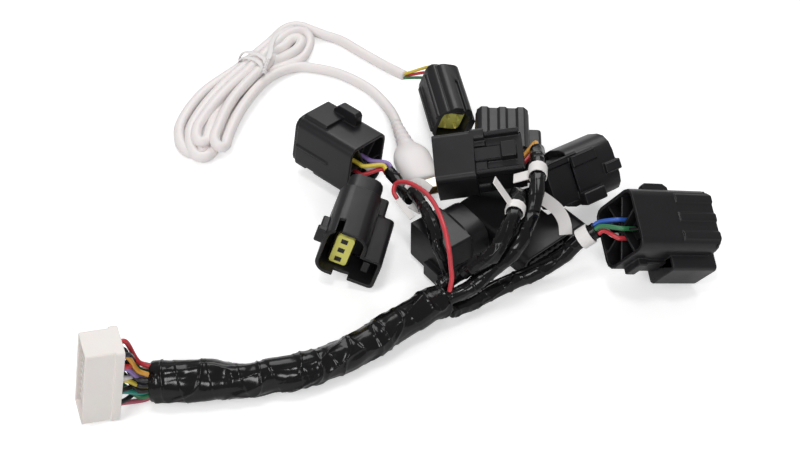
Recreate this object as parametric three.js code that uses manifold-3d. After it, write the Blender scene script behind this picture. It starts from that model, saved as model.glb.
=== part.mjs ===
// Vehicle wiring harness as it lies on a bench: a white multi-way header, a taped trunk that splits
// into branches, nine black sealed connectors, and a white USB lead tied in a hank.
// Millimetres. The harness is laid out with the bench at z = 0, +X to the right and +Y away from
// the front, and is centred on its connectors at the end.

import * as THREE from "three";
import { mergeVertices } from "three/addons/utils/BufferGeometryUtils.js";
import Module from "manifold-3d";

const wasm = await Module();
wasm.setup();

// Driving dimensions
const CLEARANCE = 0.3; // left between pieces that touch
const WIRE = 1.8; // diameter of an insulated wire
const PAPER = 0.4; // thickness of a paper label, with its fold
const LABEL_GAP = 0.45; // between a label's sleeve and the cord, which bends inside it
const STRAP_WIDTH = 5; // the long paper strap
const WALL = 1.4; // moulded wall of a sealed connector
const TERMINAL = 1.3; // side of a square terminal hole
const SEAT = 4; // how far a wire goes into its connector
const WIRE_RING_PITCH = 2.8; // length of a straight stretch in a bent wire

const TRUNK_RADIUS = 6.2;
const TRUNK_COLLAR_RADIUS = 7.5; // doubled tape at the header end
const RIGHT_RADIUS = 3.2;
const MIDDLE_RADIUS = 2.9;
const UPPER_RADIUS = 2.9;
const LEFT_RADIUS = 2.4;
const A_TAPE_RADIUS = 2.3;
const USB_RADIUS = 1.8;
const USB_CORE_RADIUS = 0.65;

const HEADER = { length: 13.5, width: 12, height: 37, corner: 0.8, wall: 1.2, depth: 8, ways: 10 };
const FLANGE = { length: 3.2, lip: 0.7 };

const A = { length: 30.5, width: 21.5, height: 23, corner: 3.6, hood: 10, collar: 0.8 };
const A_TAB = { length: 12, width: 4, height: 5.5, back: 5, side: -5.2 };
const A_PLATEAU = { length: 14, width: 15, height: 1.6 };

const B = { length: 37, width: 24, height: 17, corner: 5.5, neck: 10, mouth: 13, wall: 1.5 };
const B_LATCH = { width: 15, height: 7.5, offset: 4.2 };
const B_INSERT = { width: 14.6, height: 7, recess: 5, corner: 1.2, pitch: 4.8, ways: 3, side: 2.4 };
const B_EAR = { length: 11, width: 4.5, height: 2.6 };

const C = { length: 32, width: 15, height: 16, corner: 4, mouth: 12, wall: 1.5 };
const C_INSERT = { width: 10.6, height: 11.4, recess: 4.5, pitch: 4.6, pin: 1 };
const C_RAIL = { width: 2.2, height: 1.2 };

const D = { length: 35, width: 22, height: 17, corner: 2.6, hood: 16, body: 19, bodyHeight: 13.6 };
const D_RAIL = { width: 2, height: 2.6, spread: 8.4 };
const D_LATCH = { width: 6.4, height: 1.6, button: 6, buttonHeight: 1.6 };
const D_PAD = { length: 4.6, width: 4.4, height: 1.3 };

const E = { length: 28, width: 22, height: 19, corner: 3.5, flutes: 3 };
const E_STEP = { width: 5.5, height: 10 };

const F = { length: 31.3, width: 23.8, height: 20.5, corner: 7, hood: 20, body: 17.8, bodyHeight: 13.5 };
const F_FRAME = { length: 11.5, width: 4.6, height: 1 };
const F_EAR = { length: 6.5, width: 4.2, height: 1.6 };
const F_BLOCK = { length: 10, width: 5, height: 2.4 };

const G = { length: 36, width: 25, height: 25, corner: 4.5, flutes: 3, lobes: 17, wireDepth: 12 };
const G_FIN = { length: 12, width: 3.2, height: 3.4, side: 6 };
const G_LATCH_BOX = { length: 19, width: 16, height: 5.6, inset: 1.6, reach: 1.2, channel: 3.6 };

const H = { length: 22, width: 20.4, height: 18, corner: 7, mouth: 8, wall: 1.4 };
const H_BOSS = { radius: 1.5, length: 3 };
const H_STEP = { length: 2.4, width: 9, height: 7 };

const I = { length: 40, width: 26, height: 10.6, corner: 3.6, hood: 12, collar: 0.6, shelf: 7 };

const FLUTE_RISE = 1; // how far a moulded flute stands out of its wall

const PLUG = { length: 23, width: 15.5, height: 7.6, corner: 2.6, relief: 14.5, reliefRadius: 2.9 };
const PLUG_SHELL = { length: 5, width: 12, height: 4.5, wall: 0.5 };
const HANK = { bottom: 0.3, top: 9 };
const TIE = { width: 2.4, wall: 0.7, reach: 10.2, lift: 0.2, tail: 9 };

// Where each connector lies: its centre on the bench, and its turns about Z, Y and X in degrees
const STANDS = {
  header: { at: [-104.7, -91.9, 19.3], yaw: -159.7, pitch: -10.3, roll: -2.2 },
  a: { at: [-25.4, 30.8, 13.4], yaw: 140, pitch: -0.8, roll: 11 },
  b: { at: [-15.3, -15, 14.6], yaw: -101, pitch: -4, roll: -107 },
  c: { at: [19, 64.7, 9.6], yaw: -79, pitch: 2.6, roll: -18 },
  d: { at: [31.3, 9.7, 25.2], yaw: -178.1, pitch: 8.9, roll: -15.4 },
  e: { at: [41.8, 34.3, 10.3], yaw: 88, pitch: 0, roll: 0 },
  f: { at: [67.8, 10.7, 17.4], yaw: 32.9, pitch: 2.2, roll: 50.3 },
  g: { at: [97.6, -24.2, 22.4], yaw: 18.7, pitch: 19.8, roll: 113.8 },
  h: { at: [18.9, -18.1, 9.9], yaw: 37, pitch: 0, roll: 0 },
  i: { at: [44.6, -6.2, 5.6], yaw: -49.4, pitch: 0, roll: 0 },
};
const PLUG_STAND = { at: [-1.6, 55.4, 4.4], yaw: -73 };
const TIE_STAND = { at: [-62.4, 93.4, 0], yaw: 55 };

// Routes of the cords, as points of their centre lines on the bench
const TRUNK_ROUTE = [
  [-88, -85.4, 8.2], [-77, -85.2, 8], [-65, -84.6, 7.6], [-55, -84, 7], [-46, -82, 7], [-36, -80, 7],
  [-28, -77, 7], [-20, -73, 7.2], [-11, -67, 7.6], [-3, -61, 8.2], [7, -54, 9], [16, -48, 9.5],
];
const RIGHT_ROUTE = [
  [18.8, -50.2, 6.3], [27, -45.4, 5.6], [38, -39, 6.4], [50, -34, 9], [60.5, -31.4, 14.6],
  [68, -28.6, 21.6], [73.4, -27.6, 25.8],
];
const MIDDLE_ROUTE = [
  [17.9, -50.5, 13.4], [26, -47, 15.5], [33, -44, 20], [39, -42, 26], [44, -38, 31],
  [47.5, -30, 33], [50.3, -20, 34.4], [52.2, -8, 34.4], [53.2, 3, 33], [53.6, 11, 30.6],
];
const UPPER_ROUTE = [
  [15, -44.8, 13], [17.6, -43, 14.2], [22, -42.4, 18], [27, -43.6, 23.4], [33.5, -44, 30],
  [38, -40, 35], [41, -34, 38], [43, -27, 38], [44, -20, 35.5], [44.5, -14, 30.5],
  [46.5, -9, 25], [50.5, -4, 21],
];
const LEFT_ROUTE = [
  [15, -44.4, 7.2], [17, -41.6, 7.4], [18.4, -38, 10.4], [17.2, -36, 17], [14.5, -34, 23],
  [12.5, -27, 26], [10, -17, 24.5], [7, -6, 21], [5, 0, 19],
];
const A_TAPE_ROUTE = [
  [-4.4, 16.6, 14], [-2, 12.6, 13.7], [0.4, 8.2, 13.3], [2.2, 3.4, 13.9], [3.9, -0.8, 15.2],
];
const RED_ROUTE = [
  [18.3, -50.3, 17.3], [19, -49, 23], [18.5, -47.5, 28], [18, -46.5, 33], [17, -42, 37],
  [15, -33, 38], [12, -21, 35], [8, -10, 30], [2, -2, 26], [-1.8, 0.2, 22.6], [-2.4, -2.4, 20.8],
  [-1.2, -4.6, 19.8],
];
const STRAP_ROUTE = [
  [52.8, -14.8, 31], [57, -13.4, 26], [60.6, -14, 22.4], [63, -17, 19], [63.4, -21, 16.4],
];
const LEFT_LABEL_ROUTE = [[3, 1.8, 18], [5, 4.2, 18.6], [7.9, 4.8, 18.8], [11.9, 0.8, 18.8]];
const A_LABEL_ROUTE = [[4.3, -5.2, 17], [6.4, -7, 17], [8.8, -9, 17]];
const RED_LABEL_ROUTE = [[-0.8, -5.1, 19.4], [0.8, -7.3, 18.8], [2.9, -10.4, 18], [4.8, -13.4, 17.8]];
const USB_PLUG_END_ROUTE = [
  [-44.6, 95.2, 2.2], [-36, 94, 2], [-31, 92.5, 2], [-24, 89, 2], [-13, 80, 2], [-6, 69, 2.6],
  [-3, 61, 4], [-1.6, 56, 4.4],
];
const USB_LOOSE_END_ROUTE = [
  [-39.6, 120.1, 2.6], [-34, 117.4, 2.2], [-27, 114, 2], [-18, 106, 2], [-7, 96, 2.4],
  [1.5, 87.5, 4],
];
// The outline of the hank on the bench, round its strands
const HANK_OUTLINE = [
  [-95, 54], [-94, 67], [-89, 76], [-82, 82], [-76, 88], [-69.5, 96.5], [-64, 107], [-58, 117],
  [-52, 122.5], [-46, 123.5], [-41.4, 120], [-39.4, 113], [-41, 104], [-46.5, 95.5], [-55.5, 87.5],
  [-63, 75], [-68, 62], [-74, 50], [-79, 40], [-84, 36], [-89, 38], [-93, 45],
];

// Solids
// A closed geometry as a solid that can be joined and cut.
function solid(geometry) {
  const bare = geometry.index ? geometry.toNonIndexed() : geometry.clone();
  bare.deleteAttribute("normal");
  bare.deleteAttribute("uv");
  const merged = mergeVertices(bare, 1e-4);
  return new wasm.Manifold(
    new wasm.Mesh({
      numProp: 3,
      vertProperties: merged.attributes.position.array,
      triVerts: new Uint32Array(merged.index.array),
    }),
  );
}

// A solid as a geometry with flat-shaded faces.
function geometryOf(body) {
  const mesh = body.getMesh();
  const stride = mesh.numProp;
  const points = new Float32Array((mesh.vertProperties.length / stride) * 3);
  for (let i = 0; i * stride < mesh.vertProperties.length; i += 1) {
    points.set(mesh.vertProperties.subarray(i * stride, i * stride + 3), i * 3);
  }
  const geometry = new THREE.BufferGeometry();
  geometry.setAttribute("position", new THREE.BufferAttribute(points, 3));
  geometry.setIndex(new THREE.BufferAttribute(mesh.triVerts, 1));
  const flat = geometry.toNonIndexed();
  flat.computeVertexNormals();
  return flat;
}

const join = (...bodies) => bodies.reduce((all, body) => all.add(body));
const cut = (body, ...tools) => tools.reduce((rest, tool) => rest.subtract(tool), body);
const meet = (body, other) => body.intersect(other);

// Profiles: a rectangle with round corners between two corners of a plane.
function rounded(u0, u1, v0, v1, radius, segments = 3) {
  const corner = Math.max(0.01, Math.min(radius, (u1 - u0) / 2 - 0.01, (v1 - v0) / 2 - 0.01));
  const centres = [
    [u1 - corner, v1 - corner],
    [u0 + corner, v1 - corner],
    [u0 + corner, v0 + corner],
    [u1 - corner, v0 + corner],
  ];
  const points = [];
  centres.forEach(([u, v], quarter) => {
    for (let i = 0; i <= segments; i += 1) {
      const angle = ((quarter + i / segments) * Math.PI) / 2;
      points.push([u + corner * Math.cos(angle), v + corner * Math.sin(angle)]);
    }
  });
  return polygon(...points);
}

const centred = (width, height, radius) =>
  rounded(-width / 2, width / 2, -height / 2, height / 2, radius);

function disc(u, v, radius, sides = 12) {
  const points = [];
  for (let i = 0; i < sides; i += 1) {
    const angle = ((i + 0.5) * 2 * Math.PI) / sides;
    points.push([u + radius * Math.cos(angle), v + radius * Math.sin(angle)]);
  }
  return polygon(...points);
}

const polygon = (...points) => new THREE.Shape(points.map(([u, v]) => new THREE.Vector2(u, v)));

// A profile drawn in two of the axes and carried along the third.
const AXES = {
  x: new THREE.Matrix4().set(0, 0, 1, 0, 1, 0, 0, 0, 0, 1, 0, 0, 0, 0, 0, 1),
  y: new THREE.Matrix4().set(0, 1, 0, 0, 0, 0, 1, 0, 1, 0, 0, 0, 0, 0, 0, 1),
  z: new THREE.Matrix4(),
};

function prism(axis, profile, from, to) {
  const geometry = new THREE.ExtrudeGeometry(profile, { depth: to - from, bevelEnabled: false });
  geometry.translate(0, 0, from);
  geometry.applyMatrix4(AXES[axis]);
  return solid(geometry);
}

// A box between two corners of a housing, as a profile in y and z carried along x.
const bar = (x0, x1, y0, y1, z0, z1, radius = 0) =>
  prism("x", radius ? rounded(y0, y1, z0, z1, radius, 2) : rectangle(y0, y1, z0, z1), x0, x1);

const rectangle = (u0, u1, v0, v1) => polygon([u0, v0], [u1, v0], [u1, v1], [u0, v1]);

// A round cord along a smooth curve through its route's points, with a ring every few millimetres.
function cord(route, radius, sides, ringPitch) {
  const curve = new THREE.CatmullRomCurve3(route.map((p) => new THREE.Vector3(...p)));
  const steps = Math.max(4, Math.ceil(curve.getLength() / ringPitch));
  const geometry = new THREE.ExtrudeGeometry(disc(0, 0, radius, sides), {
    extrudePath: curve,
    steps,
    bevelEnabled: false,
  });
  return solid(geometry);
}

// Connector features, in a housing's own frame: +X from the wires to the mating end,
// +Z to the latch and +Y to the left

// The hollow of a mating end: the room between the hood's wall and the terminal tower inside it.
function matingHollow({ length, width, height, corner }, wall, depth, gap, setback = 1) {
  const inner = centred(width - 2 * wall, height - 2 * wall, corner - wall);
  const room = prism("x", inner, length / 2 - depth, length / 2 + 1);
  const tower = centred(width - 2 * wall - 2 * gap, height - 2 * wall - 2 * gap, 1.2);
  return cut(room, prism("x", tower, length / 2 - depth - 1, length / 2 - setback));
}

// The hollow of a wire end: a round-cornered recess with a block for the wires at its centre,
// joined to the wall by thin webs that stand out like spokes.
function wireHollow({ length, width, height, corner }, wall, depth, block, webs, webThickness = 0.9) {
  const inner = centred(width - 2 * wall, height - 2 * wall, corner - wall);
  const back = -length / 2;
  let room = prism("x", inner, back - 1, back + depth);
  room = cut(
    room,
    prism("x", centred(block.width, block.height, 1), back + block.setback, back + depth + 1),
  );
  const reach = width + height;
  for (let i = 0; i < webs; i += 1) {
    const web = bar(back + 1, back + depth + 1, -webThickness / 2, webThickness / 2, -reach, reach);
    room = cut(room, web.rotate([((i + 0.5) * 180) / webs, 0, 0]));
  }
  return room;
}

// Square terminal holes in rows, centred on (y, z), to be cut out of a mating face.
function terminalHoles(columns, rows, pitch, face, depth, y = 0, z = 0) {
  const holes = [];
  for (let i = 0; i < columns; i += 1) {
    for (let j = 0; j < rows; j += 1) {
      const u = y + (i - (columns - 1) / 2) * pitch;
      const v = z + (j - (rows - 1) / 2) * pitch;
      const half = TERMINAL / 2;
      holes.push(bar(face - depth, face + 1, u - half, u + half, v - half, v + half));
    }
  }
  return join(...holes);
}

// Holes that the wires go into, at the wire end.
const wireBores = (places, back, depth) =>
  join(...places.map(([y, z]) => prism("x", disc(y, z, WIRE / 2 + CLEARANCE, 8), back, depth)));

// A wall with round flutes that stand out of it along its whole length.
function fluted({ width, height, corner }, flutes, from, to) {
  const bodies = [prism("x", centred(width, height, corner), from, to)];
  const pitch = (width - 2 * corner) / (flutes - 1);
  const radius = pitch * 0.45;
  const sides = 8;
  for (const side of [-1, 1]) {
    for (let i = 0; i < flutes; i += 1) {
      const y = (i - (flutes - 1) / 2) * pitch;
      const z = side * (height / 2 + FLUTE_RISE - radius);
      bodies.push(prism("x", disc(y, z, radius, sides), from, to));
    }
  }
  return join(...bodies);
}

// Materials
const plastic = (color, roughness = 0.5) =>
  new THREE.MeshStandardMaterial({ color, roughness, metalness: 0 });
const BLACK_NYLON = plastic(0x2b2a2d, 0.55);
const WHITE_NYLON = plastic(0xe8e4da, 0.5);
const YELLOW_LOCK = plastic(0xe0da62, 0.5);
const BLACK_TAPE = plastic(0x1c1b1d, 0.25);
const PAPER_WHITE = plastic(0xe6e0dc, 0.8);
const WHITE_JACKET = plastic(0xe9e2df, 0.45);
const SHELL_METAL = new THREE.MeshStandardMaterial({ color: 0xb7a892, roughness: 0.35, metalness: 1 });
const WIRE_COLOURS = {
  red: plastic(0xc8323c),
  orange: plastic(0xe08a2a),
  yellow: plastic(0xe8cf3a),
  green: plastic(0x2c7a45),
  teal: plastic(0x2f8f86),
  blue: plastic(0x2c4fae),
  purple: plastic(0x7d62a8),
  pink: plastic(0xb85a6a),
  white: plastic(0xe4e0dc),
  black: plastic(0x232224),
};

// Assembly
const harness = new THREE.Group();
const usbLead = new THREE.Group();

function piece(parent, name, body, material) {
  const mesh = new THREE.Mesh(geometryOf(body), material);
  mesh.name = name;
  parent.add(mesh);
  return mesh;
}

// The group of a housing in its place.
function stand({ at, yaw, pitch, roll }) {
  const group = new THREE.Group();
  group.position.set(...at);
  const turn = THREE.MathUtils.degToRad;
  group.rotation.set(turn(roll), turn(pitch), turn(yaw), "ZYX");
  group.userData.rigid = true;
  harness.add(group);
  group.updateMatrixWorld(true);
  return group;
}

// A wire from its seat in a connector, straight out of it, and on to the end of its tape.
function wire(name, colour, group, back, [y, z], route, options = {}) {
  const { lead = 1.8, radius = WIRE / 2, parent = harness } = options;
  const start = [back + SEAT, back, back - lead].map((x) => {
    return group.localToWorld(new THREE.Vector3(x, y, z)).toArray();
  });
  piece(parent, name, cord([...start, ...route], radius, 6, WIRE_RING_PITCH), WIRE_COLOURS[colour]);
}

// Where wires leave the taped end of a cord: for each one, a point ahead of the end and one at it.
// Each place is across the cord, to its left and upwards.
function fan(route, places, gap, lead) {
  const [before, last] = route.slice(-2).map((point) => new THREE.Vector3(...point));
  const out = last.clone().sub(before).normalize();
  const left = new THREE.Vector3(0, 0, 1).cross(out).normalize();
  const up = out.clone().cross(left);
  return places.map(([across, rise]) =>
    [gap + lead, gap].map((ahead) => {
      const point = last.clone().addScaledVector(out, ahead);
      return point.addScaledVector(left, across).addScaledVector(up, rise).toArray();
    }),
  );
}

// Header
const headerGroup = stand(STANDS.header);
const HEADER_COLOURS = [
  "red", "orange", "green", "purple", "white",
  "yellow", "black", "teal", "blue", "pink",
];
const HEADER_PITCH = 3.2;
const HEADER_COLUMN = 2.2;
const headerPlaces = HEADER_COLOURS.map((_, i) => [
  i % 2 ? HEADER_COLUMN : -HEADER_COLUMN,
  ((HEADER_COLOURS.length - 1) / 2 - i) * HEADER_PITCH,
]);

function headerHousing() {
  const { length, width, height, corner, wall, depth, ways } = HEADER;
  const shell = prism("x", centred(width, height, corner), -length / 2, length / 2);
  const bay = bar(
    length / 2 - depth,
    length / 2 + 1,
    wall - width / 2,
    width / 2 - wall,
    wall - height / 2,
    height / 2 - wall,
  );
  const pitch = (height - 2 * wall) / ways;
  const web = 0.7;
  const ribs = [];
  for (let i = 1; i < ways; i += 1) {
    const z = -height / 2 + wall + i * pitch;
    ribs.push(bar(
      length / 2 - depth - 1,
      length / 2 - 1.5,
      -width / 2,
      width / 2,
      z - web / 2,
      z + web / 2,
    ));
  }
  ribs.push(bar(length / 2 - depth - 1, length / 2 - 1.5, -web / 2, web / 2, -height / 2, height / 2));
  const open = cut(bay, ...ribs);
  const flange = prism(
    "x",
    centred(width + 2 * FLANGE.lip, height, corner),
    -length / 2,
    -length / 2 + FLANGE.length,
  );
  const keyHeight = 4;
  const keys = [-0.3, 0.3].map((share) =>
    bar(
      -1,
      length / 2 - 2,
      -width / 2 - 0.6,
      -width / 2 + 1,
      share * height - keyHeight / 2,
      share * height + keyHeight / 2,
    ),
  );
  const body = cut(join(shell, flange, ...keys), open);
  return cut(body, wireBores(headerPlaces, -length / 2 - 1, -length / 2 + SEAT + CLEARANCE));
}

piece(headerGroup, "header_housing", headerHousing(), WHITE_NYLON);
const HEADER_END_PITCH = 3; // between the rows of wires where the tape takes them
const HEADER_END_COLUMN = 1.9;
const HEADER_FALL = 0.75; // how steeply the outer rows run in
HEADER_COLOURS.forEach((colour, i) => {
  const [x, y, z] = TRUNK_ROUTE[0];
  const row = 2 - Math.floor(i / 2);
  const side = y + (i % 2 ? -HEADER_END_COLUMN : HEADER_END_COLUMN);
  const end = [x - 1, side, z + row * HEADER_END_PITCH];
  const approach = [end[0] - 3, side, end[2] + row * HEADER_FALL * 1.5];
  wire(`header_wire_${colour}`, colour, headerGroup, -HEADER.length / 2, headerPlaces[i], [approach, end]);
});

// Tape
piece(
  harness,
  "trunk_tape",
  join(cord(TRUNK_ROUTE, TRUNK_RADIUS, 12, 7), cord(TRUNK_ROUTE.slice(0, 3), TRUNK_COLLAR_RADIUS, 12, 8)),
  BLACK_TAPE,
);
piece(harness, "branch_right_tape", cord(RIGHT_ROUTE, RIGHT_RADIUS, 9, 4.4), BLACK_TAPE);
piece(harness, "branch_middle_tape", cord(MIDDLE_ROUTE, MIDDLE_RADIUS, 9, 4.4), BLACK_TAPE);
piece(harness, "branch_upper_tape", cord(UPPER_ROUTE, UPPER_RADIUS, 9, 4.4), BLACK_TAPE);
piece(harness, "branch_left_tape", cord(LEFT_ROUTE, LEFT_RADIUS, 9, 4.4), BLACK_TAPE);
piece(harness, "branch_a_tape", cord(A_TAPE_ROUTE, A_TAPE_RADIUS, 9, 4), BLACK_TAPE);
piece(harness, "red_wire", cord(RED_ROUTE, WIRE / 2, 8, 3.4), WIRE_COLOURS.red);

// Paper labels, each a sleeve round a cord with the two joined ends standing out as a flag.
// Each one is placed by its distance back from the far end of its cord.
function label(name, { route, fromEnd, flagTo, radius, width, flag }) {
  const curve = new THREE.CatmullRomCurve3(route.map((point) => new THREE.Vector3(...point)));
  const share = 1 - fromEnd / curve.getLength();
  const x = curve.getTangentAt(share);
  const y = new THREE.Vector3().crossVectors(new THREE.Vector3(...flagTo), x).normalize();
  const z = new THREE.Vector3().crossVectors(x, y);
  const group = new THREE.Group();
  group.position.copy(curve.getPointAt(share));
  group.quaternion.setFromRotationMatrix(new THREE.Matrix4().makeBasis(x, y, z));
  harness.add(group);
  const inner = radius + LABEL_GAP;
  const half = width / 2;
  const sleeve = cut(
    prism("x", disc(0, 0, inner + PAPER, 12), -half, half),
    prism("x", disc(0, 0, inner, 12), -half - 1, half + 1),
  );
  const leaf = bar(-half, half, -PAPER / 2, PAPER / 2, inner + PAPER / 2, inner + flag);
  piece(group, name, join(sleeve, leaf), PAPER_WHITE);
}

const LABELS = {
  label_right: {
    route: RIGHT_ROUTE,
    fromEnd: 4.6,
    flagTo: [1, 2, -3],
    radius: RIGHT_RADIUS,
    width: 5,
    flag: 2.4,
  },
  label_middle: {
    route: MIDDLE_ROUTE,
    fromEnd: 16.6,
    flagTo: [-4, -2.4, -1.4],
    radius: MIDDLE_RADIUS,
    width: 5.4,
    flag: 6.5,
  },
  label_upper: {
    route: UPPER_ROUTE,
    fromEnd: 33,
    flagTo: [-5, 3, 8],
    radius: UPPER_RADIUS,
    width: 3.8,
    flag: 12,
  },
};
Object.entries(LABELS).forEach(([name, shape]) => label(name, shape));

// A strip of paper along a smooth curve, with its face turned one way.
function ribbon(name, route, width, facing) {
  const curve = new THREE.CatmullRomCurve3(route.map((point) => new THREE.Vector3(...point)));
  const towards = new THREE.Vector3(...facing);
  const steps = 12;
  const points = [];
  for (let i = 0; i <= steps; i += 1) {
    const along = curve.getTangentAt(i / steps);
    const across = towards.clone().cross(along).normalize();
    const out = along.clone().cross(across);
    for (const [u, v] of [[-1, -1], [1, -1], [1, 1], [-1, 1]]) {
      const corner = curve.getPointAt(i / steps).addScaledVector(across, (u * width) / 2);
      points.push(...corner.addScaledVector(out, (v * PAPER) / 2).toArray());
    }
  }
  const faces = [0, 2, 1, 0, 3, 2];
  for (let i = 0; i < steps; i += 1) {
    for (let j = 0; j < 4; j += 1) {
      const here = 4 * i + j;
      const next = 4 * i + ((j + 1) % 4);
      faces.push(here, next, next + 4, here, next + 4, here + 4);
    }
  }
  const last = 4 * steps;
  faces.push(last, last + 1, last + 2, last, last + 2, last + 3);
  const geometry = new THREE.BufferGeometry();
  geometry.setAttribute("position", new THREE.Float32BufferAttribute(points, 3));
  geometry.setIndex(faces);
  piece(harness, name, solid(geometry), PAPER_WHITE);
}

const TO_VIEWER = [0, -0.7, 0.7];
ribbon("label_left", LEFT_LABEL_ROUTE, 3.8, TO_VIEWER);
ribbon("label_a", A_LABEL_ROUTE, 4.2, [0, 0, 1]);
ribbon("label_red", RED_LABEL_ROUTE, 2.6, TO_VIEWER);
ribbon("paper_strap", STRAP_ROUTE, STRAP_WIDTH, TO_VIEWER);

// Connector A, back left
const groupA = stand(STANDS.a);
const A_WIRES = [
  ["yellow", [3.2, 1.4]],
  ["purple", [-1.4, 2]],
  ["white", [-1.4, -2.4]],
  ["red", [3.2, -3]],
];

function housingA() {
  const { length, width, height, corner, hood, collar } = A;
  const front = length / 2;
  const shell = prism("x", centred(width, height, corner), -front, front - 2);
  const rim = prism("x", centred(width - 2 * collar, height - 2 * collar, corner), front - 3, front);
  const plateau = bar(
    front - A_PLATEAU.length,
    front - 2,
    -A_PLATEAU.width / 2,
    A_PLATEAU.width / 2,
    0,
    height / 2 + A_PLATEAU.height,
    0.8,
  );
  const tabBack = -A_TAB.back;
  const side = polygon(
    [height / 2 - 1, tabBack],
    [height / 2 + A_TAB.height - 1.2, tabBack],
    [height / 2 + A_TAB.height, tabBack + 1.2],
    [height / 2 + A_TAB.height, tabBack + A_TAB.length - 2.4],
    [height / 2 + A_TAB.height - 2.4, tabBack + A_TAB.length],
    [height / 2 - 1, tabBack + A_TAB.length],
  );
  const tab = prism("y", side, A_TAB.side - A_TAB.width / 2, A_TAB.side + A_TAB.width / 2);
  const rib = bar(-4, front - 2, width / 2 - 1, width / 2 + 0.5, -1.4, -0.2);
  const foot = bar(
    front - 12,
    front - 7,
    -width / 2 + 2,
    width / 2 + 1,
    -height / 2 - 1,
    -height / 2 + 2.4,
  );
  const block = { width: 12, height: 11, setback: 4 };
  return cut(
    join(cut(join(shell, rim), foot), plateau, tab, rib),
    wireHollow(A, WALL, 9, block, 3),
    matingHollow({ ...A, width: width - 2 * collar, height: height - 2 * collar }, WALL, hood, 2.6),
    terminalHoles(3, 2, 3.4, front - 1, 5),
    wireBores(A_WIRES.map(([, place]) => place), -front, -front + SEAT + block.setback + 1),
  );
}

piece(groupA, "connector_a_housing", housingA(), BLACK_NYLON);
const A_TAPE_START = [...A_TAPE_ROUTE].reverse();
const A_TAPE_END = fan(A_TAPE_START, [[1.15, 1.15], [-1.15, 1.15], [-1.15, -1.15], [1.15, -1.15]], 1, 2);
A_WIRES.forEach(([colour, place], i) => {
  wire(`connector_a_wire_${colour}`, colour, groupA, -A.length / 2 + 1, place, A_TAPE_END[i]);
});

// Connector B, front left, with its shrouded mouth to the front
const groupB = stand(STANDS.b);

function housingB() {
  const { length, width, height, corner, neck, mouth, wall } = B;
  const front = length / 2;
  const base = -(height + B_LATCH.height) / 2;
  const top = base + height;
  const outline = rounded(-width / 2, width / 2, base, top, corner, 6);
  const hump = rounded(
    B_LATCH.offset - B_LATCH.width / 2,
    B_LATCH.offset + B_LATCH.width / 2,
    top - 6,
    top + B_LATCH.height,
    2,
    3,
  );
  const shell = join(prism("x", outline, -front + neck, front), prism("x", hump, -front + neck + 2, front));
  const throat = prism(
    "x",
    rounded(-width / 2 + 2.6, width / 2 - 2.6, base + 2, top - 1, 4, 3),
    -front,
    -front + neck + 1,
  );
  const guide = bar(-front + 3, -front + neck + 3, -4, 6, top - 4, top + 3, 1);
  const ear = join(
    bar(front - B_EAR.length, front - 1.5, -B_EAR.width - 2, -2, base - B_EAR.height, base + 3, 0.6),
    bar(front - 4, front - 1.5, -B_EAR.width - 3.4, -1, base - B_EAR.height - 0.8, base + 3, 0.6),
  );
  const mouthRoom = prism(
    "x",
    rounded(-width / 2 + wall, width / 2 - wall, base + wall, top - wall, corner - wall, 4),
    front - mouth,
    front + 1,
  );
  const latchRoom = prism(
    "x",
    rounded(
      B_LATCH.offset - B_LATCH.width / 2 + wall,
      B_LATCH.offset + B_LATCH.width / 2 - wall,
      top - 5,
      top + B_LATCH.height - wall,
      1,
      2,
    ),
    front - mouth,
    front + 1,
  );
  const keyways = [
    bar(front - 7, front + 1, -width / 2 - 1, -width / 2 + 2.4, base + 3.4, base + 5.6),
    bar(front - 3, front + 1, width / 2 - 2.4, width / 2 + 1, top - 9, top - 3),
  ];
  const tower = prism(
    "x",
    rounded(
      B_INSERT.side - B_INSERT.width / 2 - 0.9,
      B_INSERT.side + B_INSERT.width / 2 + 0.9,
      base + 4,
      base + 5.8 + B_INSERT.height,
      1.6,
      3,
    ),
    front - mouth - 1,
    front - 6,
  );
  const latch = join(
    bar(front - mouth - 1, front - 2.5, B_LATCH.offset - 2.6, B_LATCH.offset + 2.6, top + 0.6, top + 2.2),
    bar(front - 5.5, front - 2.5, B_LATCH.offset - 2.6, B_LATCH.offset + 2.6, top + 0.6, top + 3.4),
  );
  const seam = bar(-front + neck - 1, front - 2, -width / 2 - 1, -width / 2 + 0.7, top - 1.4, top - 0.5);
  const body = cut(join(shell, throat, guide, ear), mouthRoom, latchRoom, ...keyways, seam);
  const pocket = prism(
    "x",
    rounded(
      B_INSERT.side - B_INSERT.width / 2 - CLEARANCE,
      B_INSERT.side + B_INSERT.width / 2 + CLEARANCE,
      base + 4.9 - CLEARANCE,
      base + 4.9 + B_INSERT.height + CLEARANCE,
      B_INSERT.corner,
      3,
    ),
    front - mouth + 2,
    front,
  );
  return cut(join(body, tower, latch), pocket);
}

function insertB() {
  const front = B.length / 2;
  const base = -(B.height + B_LATCH.height) / 2 + 4.9;
  const face = front - B_INSERT.recess;
  const { width, height, corner, ways, pitch, side } = B_INSERT;
  const outline = rounded(side - width / 2, side + width / 2, base, base + height, corner, 3);
  const block = prism("x", outline, front - B.mouth + 2 + CLEARANCE, face);
  return cut(block, terminalHoles(ways, 1, pitch, face, 5, side, base + height * 0.4));
}

piece(groupB, "connector_b_housing", housingB(), BLACK_NYLON);
piece(groupB, "connector_b_terminal_lock", insertB(), YELLOW_LOCK);

// Connector C, at the back, on the loose end of the USB lead
const groupC = stand(STANDS.c);
const C_WIRES = [
  ["yellow", [-3, 2.4]],
  ["red", [-3, -1]],
  ["green", [-3, -4.4]],
];

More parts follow.
